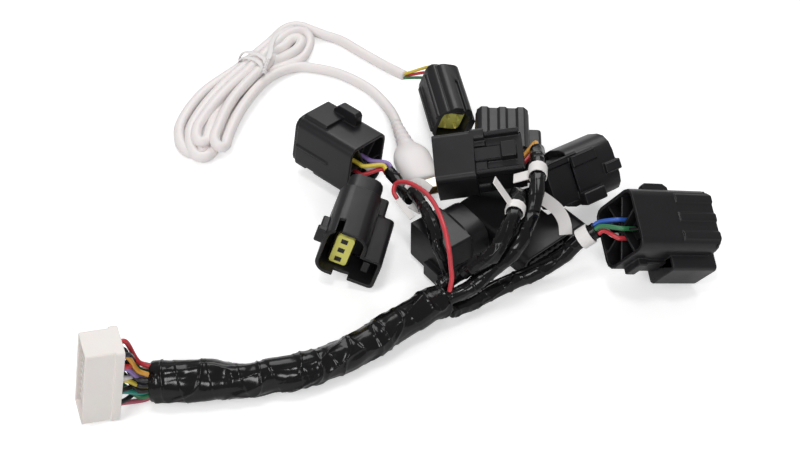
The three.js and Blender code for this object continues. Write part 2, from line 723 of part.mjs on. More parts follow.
function housingC() {
  const { length, width, height, corner, mouth, wall } = C;
  const front = length / 2;
  const shell = prism("x", centred(width, height, corner), -front + 2.5, front);
  const throat = prism("x", centred(width - 3, height - 4, 3), -front, -front + 3);
  const crown = prism(
    "x",
    rounded(-width / 2 + 3, width / 2 - 1, 0, height / 2 + 2, 3.4, 4),
    -front + 4,
    front,
  );
  const rails = [-1, 1].map((side) =>
    bar(
      -front + 6,
      front,
      -width / 2 - C_RAIL.height,
      -width / 2 + 2,
      side * 3.6 - C_RAIL.width / 2,
      side * 3.6 + C_RAIL.width / 2,
      0.5,
    ),
  );
  const step = bar(-front + 12, front, width / 2 - 2, width / 2 + 1.6, -4, 4.5, 1);
  const slot = bar(-2, front + 1, 1.6, 2.6, height / 2 + 0.8, height / 2 + 3);
  const room = prism(
    "x",
    centred(width - 2 * wall, height - 2 * wall, corner - wall),
    front - mouth,
    front + 1,
  );
  const grooves = [-1, 1].map((side) =>
    bar(
      front - mouth,
      front + 1,
      side * 3 - 0.5,
      side * 3 + 0.5,
      height / 2 - wall - 0.5,
      height / 2 - wall + 0.7,
    ),
  );
  return cut(
    join(shell, throat, crown, ...rails, step),
    room,
    slot,
    ...grooves,
    wireBores(C_WIRES.map(([, place]) => place), -front - 1, -front + SEAT + CLEARANCE),
  );
}

function insertC() {
  const front = C.length / 2;
  const face = front - C_INSERT.recess;
  const block = prism(
    "x",
    centred(C_INSERT.width, C_INSERT.height, 2.4),
    front - C.mouth + CLEARANCE,
    face,
  );
  const pins = [];
  for (const y of [-1, 1]) {
    for (const z of [-1, 1]) {
      const u = (y * C_INSERT.pitch) / 2;
      const v = (z * C_INSERT.pitch) / 2;
      const half = C_INSERT.pin / 2;
      pins.push(bar(face - 1, face + 3, u - half, u + half, v - half, v + half));
    }
  }
  return join(block, ...pins);
}

piece(groupC, "connector_c_housing", housingC(), BLACK_NYLON);
piece(groupC, "connector_c_pin_block", insertC(), YELLOW_LOCK);

// Connector D, on top of the pile, with its latch up
const groupD = stand(STANDS.d);
const D_WIRES = [
  ["red", [4, 1.5]],
  ["orange", [0, -0.6]],
];

function housingD() {
  const { length, width, height, corner, hood, body, bodyHeight } = D;
  const front = length / 2;
  const back = -front;
  const hoodBack = front - hood;
  const floor = -height / 2;
  const shell = prism("x", centred(width, height, corner), hoodBack, front);
  const brow = prism(
    "x",
    rounded(-width / 2, -width / 2 + 5, floor + 4, height / 2, 1.4, 3),
    hoodBack - 4.5,
    hoodBack + 1,
  );
  const core = prism(
    "x",
    rounded(-body / 2, body / 2, floor, floor + bodyHeight, 2, 3),
    back,
    hoodBack + 1,
  );
  const top = floor + bodyHeight;
  const rails = [-1, 1].map((side) =>
    bar(
      back + 1,
      hoodBack + 1,
      side * D_RAIL.spread - D_RAIL.width / 2,
      side * D_RAIL.spread + D_RAIL.width / 2,
      top - 1,
      top + D_RAIL.height,
      0.4,
    ),
  );
  const arm = bar(
    back + 3.6,
    hoodBack + 1,
    -D_LATCH.width / 2,
    D_LATCH.width / 2,
    top - 0.5,
    top + D_LATCH.height,
    0.4,
  );
  const buttonProfile = rounded(
    back + 2.6,
    back + 2.6 + D_LATCH.button,
    -D_LATCH.width / 2 - 0.3,
    D_LATCH.width / 2 + 0.3,
    0.6,
    2,
  );
  const button = prism("z", buttonProfile, top, top + D_LATCH.height + D_LATCH.buttonHeight);
  const pads = [-1, 1].map((side) =>
    bar(
      hoodBack - D_PAD.length,
      hoodBack + 1,
      side * 5.4 - D_PAD.width / 2,
      side * 5.4 + D_PAD.width / 2,
      top - 1,
      top + D_PAD.height,
      0.3,
    ),
  );
  const cheek = bar(
    hoodBack - 5,
    hoodBack + 2,
    width / 2 - 3.4,
    width / 2 - 0.4,
    floor + 3,
    floor + 8,
    0.6,
  );
  const relief = bar(back - 1, back + 3, -6.5, 6.5, floor + 2.4, top - 2.4, 1);
  return cut(
    join(shell, brow, core, ...rails, arm, button, ...pads, cheek),
    matingHollow(D, WALL, 11, 2.6),
    terminalHoles(4, 2, 3.2, front - 1, 5),
    relief,
    wireBores(D_WIRES.map(([, place]) => place), back, back + SEAT + 4),
  );
}

piece(groupD, "connector_d_housing", housingD(), BLACK_NYLON);
const D_TAPE_END = fan(MIDDLE_ROUTE, [[-0.6, -1.1], [0.6, 1.1]], 1.5, 3.6);
D_WIRES.forEach(([colour, place], i) => {
  wire(`connector_d_wire_${colour}`, colour, groupD, -D.length / 2 + 3, place, D_TAPE_END[i]);
});

// Connector E, behind D, with flutes along its top
const groupE = stand(STANDS.e);

function housingE() {
  const { length, width, height, corner, flutes } = E;
  const front = length / 2;
  const step = bar(
    -front + 3,
    front - 3,
    -width / 2 - E_STEP.width,
    -width / 2 + 2,
    -height / 2,
    -height / 2 + E_STEP.height,
    1.4,
  );
  const block = { width: 12, height: 9, setback: 3 };
  return cut(
    join(
      fluted(E, flutes, -front + 4, front),
      prism("x", centred(width, height, corner), -front, front),
      step,
    ),
    wireHollow(E, WALL, 7, block, 3),
    matingHollow(E, WALL, 9, 2.6),
    terminalHoles(3, 2, 3.6, front - 1, 5),
  );
}

piece(groupE, "connector_e_housing", housingE(), BLACK_NYLON);

// Connector F, right of the middle, its lock plate to the front
const groupF = stand(STANDS.f);

function housingF() {
  const { length, width, height, corner, hood, body, bodyHeight } = F;
  const front = length / 2;
  const back = -front;
  const hoodBack = front - hood;
  const shell = prism("x", centred(width, height, corner), hoodBack, front);
  const gap = 1.3;
  const recess = cut(
    prism("x", centred(width - 2 * WALL, height - 2 * WALL, corner - WALL), hoodBack - 1, hoodBack + 3),
    prism(
      "x",
      centred(width - 2 * WALL - 2 * gap, height - 2 * WALL - 2 * gap, 2),
      hoodBack - 2,
      hoodBack + 4,
    ),
  );
  const plate = rounded(-body / 2, body / 2, height / 2 - bodyHeight, height / 2 - 1.6, 1.2, 2);
  const core = prism("x", plate, back, hoodBack + 4);
  const lip = bar(back, hoodBack + 4, body / 2 - 2, body / 2 + 0.8, height / 2 - 2.8, height / 2 - 1, 0.3);
  const frame = bar(
    hoodBack,
    hoodBack + F_FRAME.length,
    width / 2 - 3 - F_FRAME.width,
    width / 2 - 3,
    height / 2 - 1,
    height / 2 + F_FRAME.height,
    0.3,
  );
  const ear = bar(
    front - F_EAR.length,
    front + 0.8,
    -F_EAR.width / 2 - 1,
    F_EAR.width / 2 - 1,
    height / 2 - 1,
    height / 2 + F_EAR.height,
    0.4,
  );
  const block = bar(
    hoodBack,
    hoodBack + F_BLOCK.length,
    -width / 2 + 0.6,
    -width / 2 + 0.6 + F_BLOCK.width,
    height / 2 - 3,
    height / 2 + F_BLOCK.height,
    0.5,
  );
  return cut(
    join(cut(shell, recess), core, lip, frame, ear, block),
    matingHollow(F, WALL, 10, 2.6),
    terminalHoles(4, 2, 3.2, front - 1, 5),
    bar(back - 1, back + 3, -5.5, 5.5, -1.2, height / 2 - 4.2, 0.8),
  );
}

piece(groupF, "connector_f_housing", housingF(), BLACK_NYLON);

// Connector G, at the right, with its ribbed wire end open to view
const groupG = stand(STANDS.g);
const fiveRound = (reach, turn) =>
  [0, 1, 2, 3, 4].map((i) => {
    const angle = THREE.MathUtils.degToRad(turn + 72 * i);
    return [reach * Math.cos(angle), reach * Math.sin(angle)];
  });
const G_WIRE_TURN = 20;
const G_TAPE_TURN = 122;
const gPlaces = fiveRound(3.6, G_WIRE_TURN);
const G_WIRES = ["green", "red", "white", "black", "blue"].map((colour, i) => [colour, gPlaces[i]]);

function housingG() {
  const { length, width, height, corner, flutes, lobes, wireDepth } = G;
  const front = length / 2;
  const back = -front;
  const shell = prism("x", centred(width, height, corner), back, front - 1.5);
  const lobedProfile = { width: height - 1, height: width, corner };
  const end = fluted(lobedProfile, flutes, front - lobes, front).rotate([90, 0, 0]);
  const fin = polygon(
    [-height / 2 + 1, -9],
    [-height / 2 - G_FIN.height + 1, -9 + 0.6],
    [-height / 2 - G_FIN.height, -9 + 1.6],
    [-height / 2 - G_FIN.height, -9 + G_FIN.length - 2],
    [-height / 2 - G_FIN.height + 1.6, -9 + G_FIN.length],
    [-height / 2 + 1, -9 + G_FIN.length],
  );
  const tab = prism("y", polygonReversed(fin), G_FIN.side - G_FIN.width / 2, G_FIN.side + G_FIN.width / 2);
  const boxBack = front - G_LATCH_BOX.length;
  const low = -width / 2 + G_LATCH_BOX.inset;
  const boxProfile = rounded(
    low,
    low + G_LATCH_BOX.width,
    height / 2 - 3,
    height / 2 + G_LATCH_BOX.height,
    1.8,
    3,
  );
  const latchBox = prism("x", boxProfile, boxBack, front + G_LATCH_BOX.reach);
  const channel = bar(
    boxBack - 1,
    front - 3,
    low + 1.6,
    low + G_LATCH_BOX.width - 1.6,
    height / 2 + 0.4,
    height / 2 + 0.4 + G_LATCH_BOX.channel,
    0.6,
  );
  const latch = join(
    bar(back + 4, boxBack + 5, low + 4, low + G_LATCH_BOX.width - 4, height / 2 - 1, height / 2 + 1.6, 0.4),
    bar(back + 4, back + 8, low + 3, low + G_LATCH_BOX.width - 3, height / 2 - 1, height / 2 + 2.8, 0.6),
  );
  const block = { width: 13, height: 11, setback: 5 };
  return cut(
    join(cut(join(shell, end, latchBox), channel), tab, latch),
    wireHollow(G, WALL, wireDepth, block, 4),
    matingHollow(G, WALL, 12, 3),
    terminalHoles(4, 2, 3.8, front - 1, 5),
    wireBores(G_WIRES.map(([, place]) => place), back, back + SEAT + block.setback + 1),
  );
}

function polygonReversed(shape) {
  return new THREE.Shape(shape.getPoints().reverse());
}

piece(groupG, "connector_g_housing", housingG(), BLACK_NYLON);
const G_TAPE_END = fan(RIGHT_ROUTE, fiveRound(1.9, G_TAPE_TURN), 1, 1.6);
G_WIRES.forEach(([colour, place], i) => {
  wire(`connector_g_wire_${colour}`, colour, groupG, -G.length / 2 + 1, place, G_TAPE_END[i], { lead: 2 });
});

// Connector H, under the left branch, with its mouth to the right
const groupH = stand(STANDS.h);

function housingH() {
  const { length, width, height, corner, mouth, wall } = H;
  const front = length / 2;
  const back = -front;
  const box = prism("x", centred(width, height, 1), back, front - mouth);
  const hood = prism("x", centred(width + 1.6, height + 1.2, corner), front - mouth, front);
  const room = prism(
    "x",
    centred(width + 1.6 - 2 * wall, height + 1.2 - 2 * wall, corner - wall),
    front - mouth + 1,
    front + 1,
  );
  const tower = prism("x", centred(width - 7, height - 7, 1.4), front - mouth, front - 1.5);
  const bossY = -width / 2 + 2.6;
  const boss = prism(
    "x",
    disc(bossY, height / 2 - 2.8, H_BOSS.radius, 10),
    front - mouth,
    front - mouth + 1 + H_BOSS.length,
  );
  const step = bar(
    back - H_STEP.length,
    back + 1,
    -width / 2,
    -width / 2 + H_STEP.width,
    -height / 2,
    -height / 2 + H_STEP.height,
    0.4,
  );
  return cut(join(cut(join(box, hood), room), tower, boss, step), terminalHoles(2, 2, 3.2, front - 1.5, 4));
}

piece(groupH, "connector_h_housing", housingH(), BLACK_NYLON);

// Connector I, the large smooth housing under the branches
const groupI = stand(STANDS.i);

function housingI() {
  const { length, width, height, corner, hood, collar, shelf } = I;
  const front = length / 2;
  const back = -front;
  const shell = prism("x", centred(width, height, corner), back, front);
  const sleeveSide = width / 2 + collar;
  const sleeve = prism(
    "x",
    rounded(-sleeveSide, sleeveSide + shelf, -height / 2, height / 2, corner),
    front - hood,
    front,
  );
  const block = { width: 16, height: 6, setback: 3 };
  return cut(
    join(shell, sleeve),
    wireHollow(I, WALL, 7, block, 3),
    matingHollow(I, WALL, 10, 2.4),
    terminalHoles(6, 2, 3, front - 1, 5),
  );
}

piece(groupI, "connector_i_housing", housingI(), BLACK_NYLON);

// USB lead: plug, cord, hank, tie, and the three cores of its loose end
const plugGroup = new THREE.Group();
plugGroup.position.set(...PLUG_STAND.at);
plugGroup.rotation.z = THREE.MathUtils.degToRad(PLUG_STAND.yaw);
usbLead.add(plugGroup);

function overmould() {
  const { length, width, height, corner, relief, reliefRadius } = PLUG;
  const grip = prism("x", centred(width, height, corner), relief + 2, relief + length);
  const ramp = 5;
  const shoulder = meet(
    prism(
      "z",
      polygon(
        [relief - 1, -reliefRadius],
        [relief + ramp, -width / 2],
        [relief + ramp, width / 2],
        [relief - 1, reliefRadius],
      ),
      -height,
      height,
    ),
    prism("x", centred(width, height, corner), relief - 2, relief + ramp + 1),
  );
  const rings = [];
  const count = 5;
  const pitch = relief / count;
  for (let i = 0; i < count; i += 1) {
    rings.push(prism(
      "x",
      disc(0, 0, reliefRadius - 0.1 * (count - i), 10),
      i * pitch,
      i * pitch + pitch * 0.62,
    ));
  }
  const stem = prism("x", disc(0, 0, reliefRadius - 0.9, 10), 0, relief + 2);
  return join(grip, shoulder, stem, ...rings);
}

piece(plugGroup, "usb_overmould", overmould(), WHITE_JACKET);
const plugEnd = PLUG.relief + PLUG.length + CLEARANCE;
piece(
  plugGroup,
  "usb_shell",
  cut(
    prism("x", centred(PLUG_SHELL.width, PLUG_SHELL.height, 0.6), plugEnd, plugEnd + PLUG_SHELL.length),
    prism(
      "x",
      centred(PLUG_SHELL.width - 2 * PLUG_SHELL.wall, PLUG_SHELL.height - 2 * PLUG_SHELL.wall, 0.3),
      plugEnd + 1,
      plugEnd + PLUG_SHELL.length + 1,
    ),
  ),
  SHELL_METAL,
);
piece(usbLead, "usb_cord_plug_end", cord(USB_PLUG_END_ROUTE, USB_RADIUS, 8, 6), WHITE_JACKET);
piece(usbLead, "usb_cord_loose_end", cord(USB_LOOSE_END_ROUTE, USB_RADIUS, 8, 6), WHITE_JACKET);

const hankOutline = new THREE.CatmullRomCurve3(
  HANK_OUTLINE.map(([x, y]) => new THREE.Vector3(x, y, 0)),
  true,
);
const HANK_STEPS = 44;
const hankShape = new THREE.Shape(
  hankOutline.getSpacedPoints(HANK_STEPS).slice(0, -1).map((p) => new THREE.Vector2(p.x, p.y)),
);
const tieGroup = new THREE.Group();
tieGroup.position.set(...TIE_STAND.at);
tieGroup.rotation.z = THREE.MathUtils.degToRad(TIE_STAND.yaw);
usbLead.add(tieGroup);
tieGroup.updateMatrixWorld(true);

// A prism in a turned frame on the bench, brought into the bench's own frame.
const placed = (body, group) => body.transform(group.matrixWorld.toArray());

const tieInner = { side: TIE.reach + CLEARANCE, low: TIE.lift + TIE.wall, high: HANK.top + CLEARANCE };
const groove = bar(-TIE.width, TIE.width, -30, 30, HANK.bottom - 1, tieInner.low + CLEARANCE);
const hank = cut(prism("z", hankShape, HANK.bottom, HANK.top), placed(groove, tieGroup));
piece(usbLead, "usb_hank", hank, WHITE_JACKET);

function twistTie() {
  const { side, low, high } = tieInner;
  const half = TIE.width / 2;
  const band = cut(
    prism(
      "x",
      rounded(-side - TIE.wall, side + TIE.wall, low - TIE.wall, high + TIE.wall, 2, 3),
      -half,
      half,
    ),
    prism("x", rounded(-side, side, low, high, 1.4, 3), -half - 1, half + 1),
  );
  const tails = [-1, 1].map((way) =>
    cord([[0, -3, high + 1.1], [way * 2, -4.4, high + 2], [way * TIE.tail, -7.4, high + 1.2]], 0.7, 5, 3),
  );
  return join(band, ...tails);
}

piece(tieGroup, "twist_tie", twistTie(), PAPER_WHITE);

const C_LOOSE_ENDS = [[2.2, 87.2, 5], [2.7, 87.6, 3.7], [1.9, 86.4, 3.4]];
C_WIRES.forEach(([colour, place], i) => {
  wire(`usb_core_${colour}`, colour, groupC, -C.length / 2, place, [C_LOOSE_ENDS[i]], {
    radius: USB_CORE_RADIUS,
    parent: usbLead,
  });
});

const part = new THREE.Group();
part.add(harness, usbLead);
part.updateMatrixWorld(true);
const span = new THREE.Box3();
const rigid = harness.children.filter((child) => child.userData.rigid);
rigid.forEach((child) => span.expandByObject(child, true));
part.position.set(-(span.min.x + span.max.x) / 2, -(span.min.y + span.max.y) / 2, -span.min.z);

export default part;
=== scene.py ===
"""A vehicle wiring harness as it lies on a bench: a white multi-way header, a trunk wound in black
tape that splits into branches, nine black sealed connectors, and a white USB lead in a hank."""

import math

import bmesh
import bpy
import numpy as np
from mathutils import Matrix, Vector


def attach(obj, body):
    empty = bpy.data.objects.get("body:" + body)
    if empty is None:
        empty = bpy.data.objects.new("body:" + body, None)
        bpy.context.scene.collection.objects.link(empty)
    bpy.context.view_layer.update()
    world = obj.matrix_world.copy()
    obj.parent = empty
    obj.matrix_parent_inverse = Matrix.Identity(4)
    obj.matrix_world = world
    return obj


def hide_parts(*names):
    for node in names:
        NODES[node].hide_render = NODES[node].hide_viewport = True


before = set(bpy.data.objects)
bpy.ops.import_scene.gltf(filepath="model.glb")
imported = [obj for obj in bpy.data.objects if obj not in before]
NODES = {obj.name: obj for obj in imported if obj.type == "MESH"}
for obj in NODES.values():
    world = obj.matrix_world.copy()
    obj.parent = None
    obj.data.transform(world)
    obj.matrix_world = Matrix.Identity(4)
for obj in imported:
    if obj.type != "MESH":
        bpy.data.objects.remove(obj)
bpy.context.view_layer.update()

# The camera looks down at the bench from the front, as the photographer did. The whole harness is
# laid out in millimetres on that bench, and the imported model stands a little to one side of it.
BENCH_TO_ROW = np.array([-2.238, 9.345, 0.318])
VIEW_ELEVATION = math.radians(46)
VIEW_DISTANCE = 0.6


def laid(points):
    """Points of the bench layout in millimetres, as points of the row's frame in metres."""
    return (np.asarray(points, float) + BENCH_TO_ROW) / 1000


camera = bpy.data.objects.new("camera", bpy.data.cameras.new("camera"))
camera.data.sensor_width = 36
camera.data.lens = 67.5
camera.data.clip_start = 0.01
aim = Vector(laid([0, 0, 0]))
back = Vector((0, -math.cos(VIEW_ELEVATION), math.sin(VIEW_ELEVATION)))
camera.location = aim + back * VIEW_DISTANCE
camera.rotation_euler = back.to_track_quat("Z", "Y").to_euler()
bpy.context.scene.collection.objects.link(camera)
bpy.context.scene.camera = camera


# White USB lead: one round cord of about 0.83 m, from the end of its jacket at the loose cores,
# through the hank's eight passes, to the grip of the plug. It lies on the bench.
def smooth_line(points, step):
    """A smooth line through points, with a point every step. Each stretch is a centripetal
    Catmull-Rom curve, and the line is then spaced evenly along its length."""
    p = np.asarray(points, float)
    p = np.vstack([2 * p[0] - p[1], p, 2 * p[-1] - p[-2]])
    gap = np.sqrt(np.linalg.norm(np.diff(p, axis=0), axis=1))
    t = np.concatenate([[0], np.cumsum(gap)])
    u = np.linspace(0, 1, 12, endpoint=False)[None, :, None]
    p0, p1, p2, p3 = (p[i : len(p) - 3 + i, None, :] for i in range(4))
    t0, t1, t2, t3 = (t[i : len(t) - 3 + i, None, None] for i in range(4))
    s = t1 + (t2 - t1) * u
    a1 = p0 + (p1 - p0) * (s - t0) / (t1 - t0)
    a2 = p1 + (p2 - p1) * (s - t1) / (t2 - t1)
    a3 = p2 + (p3 - p2) * (s - t2) / (t3 - t2)
    b1 = a1 + (a2 - a1) * (s - t0) / (t2 - t0)
    b2 = a2 + (a3 - a2) * (s - t1) / (t3 - t1)
    fine = np.vstack([(b1 + (b2 - b1) * (s - t1) / (t2 - t1)).reshape(-1, 3), p[-2]])
    run = np.concatenate([[0], np.cumsum(np.linalg.norm(np.diff(fine, axis=0), axis=1))])
    even = np.linspace(0, run[-1], max(3, int(round(run[-1] / step)) + 1))
    return np.stack([np.interp(even, run, fine[:, i]) for i in range(3)], axis=1)


def line_length(line):
    """The length of a line of points."""
    return float(np.linalg.norm(np.diff(line, axis=0), axis=1).sum())


def crossing_frames(line):
    """Along a line, its direction and two directions across it that turn with it but never twist."""
    along = np.gradient(line, axis=0)
    along /= np.linalg.norm(along, axis=1)[:, None]
    side = np.zeros_like(line)
    first = np.cross(along[0], [0.0, 0.0, 1.0])
    side[0] = first if np.linalg.norm(first) > 0.1 else np.cross(along[0], [0.0, 1.0, 0.0])
    for i in range(1, len(line)):
        side[i] = side[i - 1] - along[i] * (side[i - 1] @ along[i])
        side[i] /= np.linalg.norm(side[i])
    side[0] /= np.linalg.norm(side[0])
    return along, side, np.cross(along, side)


def grid_object(name, rings, closed_ends=True):
    """A skin over rings of points, each ring closed, with a cap on each end ring."""
    count, sides = rings.shape[:2]
    rows = np.arange(count - 1)[:, None] * sides
    here = np.arange(sides)[None, :]
    after = (here + 1) % sides
    quads = np.stack([rows + here, rows + after, rows + sides + after, rows + sides + here], -1)
    faces = quads.reshape(-1, 4).tolist()
    if closed_ends:
        faces.append(list(range(sides))[::-1])
        faces.append(list(range((count - 1) * sides, count * sides)))
    mesh = bpy.data.meshes.new(name)
    mesh.from_pydata(rings.reshape(-1, 3).tolist(), [], faces)
    mesh.update()
    mesh.polygons.foreach_set("use_smooth", [True] * len(mesh.polygons))
    obj = bpy.data.objects.new(name, mesh)
    bpy.context.scene.collection.objects.link(obj)
    return obj


def tube(name, line, radius, sides=20, rounding=0.35):
    """A round cord along a line of points in metres. Radius is a number or one value for each
    ring, or one for each point of each ring, and the ends are eased by a share of the radius."""
    along, side, up = crossing_frames(line)
    turn = np.linspace(0, 2 * np.pi, sides, endpoint=False)
    reach = np.broadcast_to(np.asarray(radius, float), (len(line),)) if np.ndim(radius) < 2 else radius
    reach = reach[:, None] * np.ones(sides) if np.ndim(reach) == 1 else reach
    out = side[:, None] * np.cos(turn)[None, :, None] + up[:, None] * np.sin(turn)[None, :, None]
    rings = line[:, None] + out * reach[..., None]
    caps = []
    for end, way in ((0, -1), (-1, 1)):
        ease = rounding * reach[end].mean()
        angle = np.radians([75, 45, 15] if end == 0 else [15, 45, 75])
        shrink = reach[end][None, :] - ease * (1 - np.cos(angle))[:, None]
        centre = line[end] + way * along[end] * (ease * np.sin(angle))[:, None]
        caps.append(centre[:, None] + out[end][None] * shrink[..., None])
    return grid_object(name, np.concatenate([caps[0], rings, caps[1]]))


def nodes_of(name):
    """A new material's tree and its Principled shader."""
    material = bpy.data.materials.new(name)
    material.use_nodes = True
    return material, material.node_tree, material.node_tree.nodes["Principled BSDF"]


ROUGHNESS_PATCH_SCALE = 170
NOISE_DETAIL = 3


def surface_group():
    """Fine variation that moulded plastic, cable jackets and paper share: a faint mottling of the
    colour, a roughness that wanders, and a height made of a fine grain and slow waves."""
    group = bpy.data.node_groups.new("fine_variation", "ShaderNodeTree")
    face = group.interface
    for label, kind, value in (
        ("Colour", "NodeSocketColor", (0.5, 0.5, 0.5, 1)),
        ("Second Colour", "NodeSocketColor", (0.5, 0.5, 0.5, 1)),
        ("Mottle Scale", "NodeSocketFloat", 60.0),
        ("Grain Scale", "NodeSocketFloat", 2500.0),
        ("Roughness", "NodeSocketFloat", 0.5),
        ("Roughness Spread", "NodeSocketFloat", 0.12),
        ("Grain", "NodeSocketFloat", 0.5),
    ):
        socket = face.new_socket(label, in_out="INPUT", socket_type=kind)
        socket.default_value = value
    for label, kind in (
        ("Colour", "NodeSocketColor"),
        ("Roughness", "NodeSocketFloat"),
        ("Height", "NodeSocketFloat"),
    ):
        face.new_socket(label, in_out="OUTPUT", socket_type=kind)
    n, link = group.nodes, group.links.new
    given, result = n.new("NodeGroupInput"), n.new("NodeGroupOutput")
    place = n.new("ShaderNodeTexCoord")
    slow, fast, patch = (n.new("ShaderNodeTexNoise") for _ in range(3))
    for noise in (slow, fast, patch):
        link(place.outputs["Object"], noise.inputs["Vector"])
        noise.inputs["Detail"].default_value = NOISE_DETAIL
    link(given.outputs["Mottle Scale"], slow.inputs["Scale"])
    link(given.outputs["Grain Scale"], fast.inputs["Scale"])
    patch.inputs["Scale"].default_value = ROUGHNESS_PATCH_SCALE
    blend = n.new("ShaderNodeMix")
    blend.data_type = "RGBA"
    link(slow.outputs["Fac"], blend.inputs["Factor"])
    link(given.outputs["Colour"], blend.inputs["A"])
    link(given.outputs["Second Colour"], blend.inputs["B"])
    link(blend.outputs["Result"], result.inputs["Colour"])
    centre = n.new("ShaderNodeMath")
    centre.operation = "SUBTRACT"
    link(patch.outputs["Fac"], centre.inputs[0])
    centre.inputs[1].default_value = 0.5
    rough = n.new("ShaderNodeMath")
    rough.operation = "MULTIPLY_ADD"
    link(centre.outputs[0], rough.inputs[0])
    link(given.outputs["Roughness Spread"], rough.inputs[1])
    link(given.outputs["Roughness"], rough.inputs[2])
    link(rough.outputs[0], result.inputs["Roughness"])
    height = n.new("ShaderNodeMath")
    height.operation = "MULTIPLY_ADD"
    link(fast.outputs["Fac"], height.inputs[0])
    link(given.outputs["Grain"], height.inputs[1])
    link(slow.outputs["Fac"], height.inputs[2])
    link(height.outputs[0], result.inputs["Height"])
    return group


FINE = surface_group()


def finish(
    name, colour, second, roughness, mottle=60, grain_scale=2500, grain=0.5, spread=0.12, bump=0.2,
    depth=0.0002, **shader
):
    """A material with the shared fine variation between two colours. Further values go straight to
    the shader's own sockets."""
    material, tree, principled = nodes_of(name)
    group = tree.nodes.new("ShaderNodeGroup")
    group.node_tree = FINE
    values = {
        "Colour": (*colour, 1),
        "Second Colour": (*second, 1),
        "Mottle Scale": mottle,
        "Grain Scale": grain_scale,
        "Roughness": roughness,
        "Roughness Spread": spread,
        "Grain": grain,
    }
    for key, value in values.items():
        group.inputs[key].default_value = value
    relief = tree.nodes.new("ShaderNodeBump")
    relief.inputs["Strength"].default_value = bump
    relief.inputs["Distance"].default_value = depth
    tree.links.new(group.outputs["Height"], relief.inputs["Height"])
    tree.links.new(group.outputs["Colour"], principled.inputs["Base Color"])
    tree.links.new(group.outputs["Roughness"], principled.inputs["Roughness"])
    tree.links.new(relief.outputs["Normal"], principled.inputs["Normal"])
    for key, value in shader.items():
        principled.inputs[key.replace("_", " ")].default_value = value
    return material


def dress(obj, material, slot, *nodes):
    """Give a piece its only material, ride it on the harness and let it stand for CAD nodes."""
    obj.data.materials.clear()
    obj.data.materials.append(material)
    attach(obj, "root")
    if nodes:
        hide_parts(*nodes)
    return obj


USB_CORD_DIAMETER = 0.0046
USB_LOOSE_END_ROUTE = [
    [-39.6, 120.1, 2.6], [-34, 117.4, 2.2], [-27, 114, 2], [-18, 106, 2], [-7, 96, 2.4],
    [1.5, 87.5, 4],
]
USB_PLUG_END_ROUTE = [
    [-44.6, 95.2, 2.2], [-36, 94, 2], [-31, 92.5, 2], [-24, 89, 2], [-13, 80, 2], [-6, 69, 2.6],
    [-3, 61, 4], [-1.6, 56, 4.4],
]
HANK_ENTRY = [[-51.5, 121, 3.4], [-46, 123.7, 2.4]]
HANK_CENTRE = [-66.7, 79.3]
HANK_TURN = math.radians(60)
HANK_LEAN = 0.42
HANK_BEND_RADIUS = 3.2
# Places along the hank, from its left end; the twist tie is at the third. Each pass has a lane and
# a height there, and then the reach of the bend that joins it to the next.
HANK_STATIONS = [-32, -12, 13, 30]
HANK_PASSES = [
    ([12.3, 15.7, 11, 7.9], [2.1, 2.1, 2.6, 4.4], 12.8),
    ([-3.4, 0.4, 2.6, -5.4], [2.1, 2.1, 2.4, 5], 8.4),
    ([6.2, 9.6, 7, 0], [3.8, 3.7, 5.6, 5.6], 13.5),
    ([-7.4, -4.2, -1.4, -8.6], [2.1, 2.1, 2.1, 2.1], 14.1),
    ([2.4, 5.3, 3.6, 3.6], [6.2, 5.7, 6.8, 6.8], 8.2),
    ([-3, 4.6, 6.8, -3.6], [5.2, 2.1, 2.1, 2.1], 8.4),
    ([-6.8, -0.9, -0.2, 1.8], [6.8, 6.4, 6.4, 2.1], 6.4),
    ([-12, -6.6, -4.8], [4.8, 5.4, 3.2], 0),
]


def hank_turns():
    """The turns of the hank as points on the bench. Passes run to its left end and back by turns.
    A bend is half an ellipse, from the lane and height of one pass to those of the next. A
    narrow one bellies out, so that the cord is kinked less, and those at the left end lean
    forward."""
    stretched = []
    for number, (lanes, heights, reach) in enumerate(HANK_PASSES):
        way = 1 if number % 2 else -1
        stretched += list(zip(HANK_STATIONS, lanes, heights))[::way]
        if number + 1 < len(HANK_PASSES):
            end = 0 if way < 0 else -1
            here = np.array([lanes[end], heights[end]])
            there = np.array([HANK_PASSES[number + 1][i][end] for i in (0, 1)])
            half = (here - there) / 2
            belly = math.copysign(max(0, HANK_BEND_RADIUS - abs(half[0])), half[0])
            for angle in np.radians([30, 60, 90, 120, 150]):
                lane, height = (here + there) / 2 + half * math.cos(angle)
                lane += belly * math.sin(2 * angle) - HANK_LEAN * reach * math.sin(angle) * (way < 0)
                stretched.append((HANK_STATIONS[end] + way * reach * math.sin(angle), lane, height))
    along, lane, height = np.array(stretched).T
    c, s = math.cos(HANK_TURN), math.sin(HANK_TURN)
    x, y = HANK_CENTRE
    return np.stack([x + along * c - lane * s, y + along * s + lane * c, height], axis=1).tolist()


USB_ROUTE = USB_LOOSE_END_ROUTE[::-1] + HANK_ENTRY[::-1] + hank_turns() + USB_PLUG_END_ROUTE
WHITE_JACKET = finish(
    "white_cable_jacket", (0.83, 0.785, 0.775), (0.87, 0.83, 0.82), 0.42, mottle=35,
    grain_scale=1600, grain=0.25, bump=0.12,
    Subsurface_Weight=0.12, Subsurface_Scale=0.0015,
)
usb_line = smooth_line(laid(USB_ROUTE), 0.0012)
usb_cord = dress(
    tube("usb_lead_cord", usb_line, USB_CORD_DIAMETER / 2, 24),
    WHITE_JACKET,
    "white_jacket",
    "usb_hank",
    "usb_cord_plug_end",
    "usb_cord_loose_end",
)

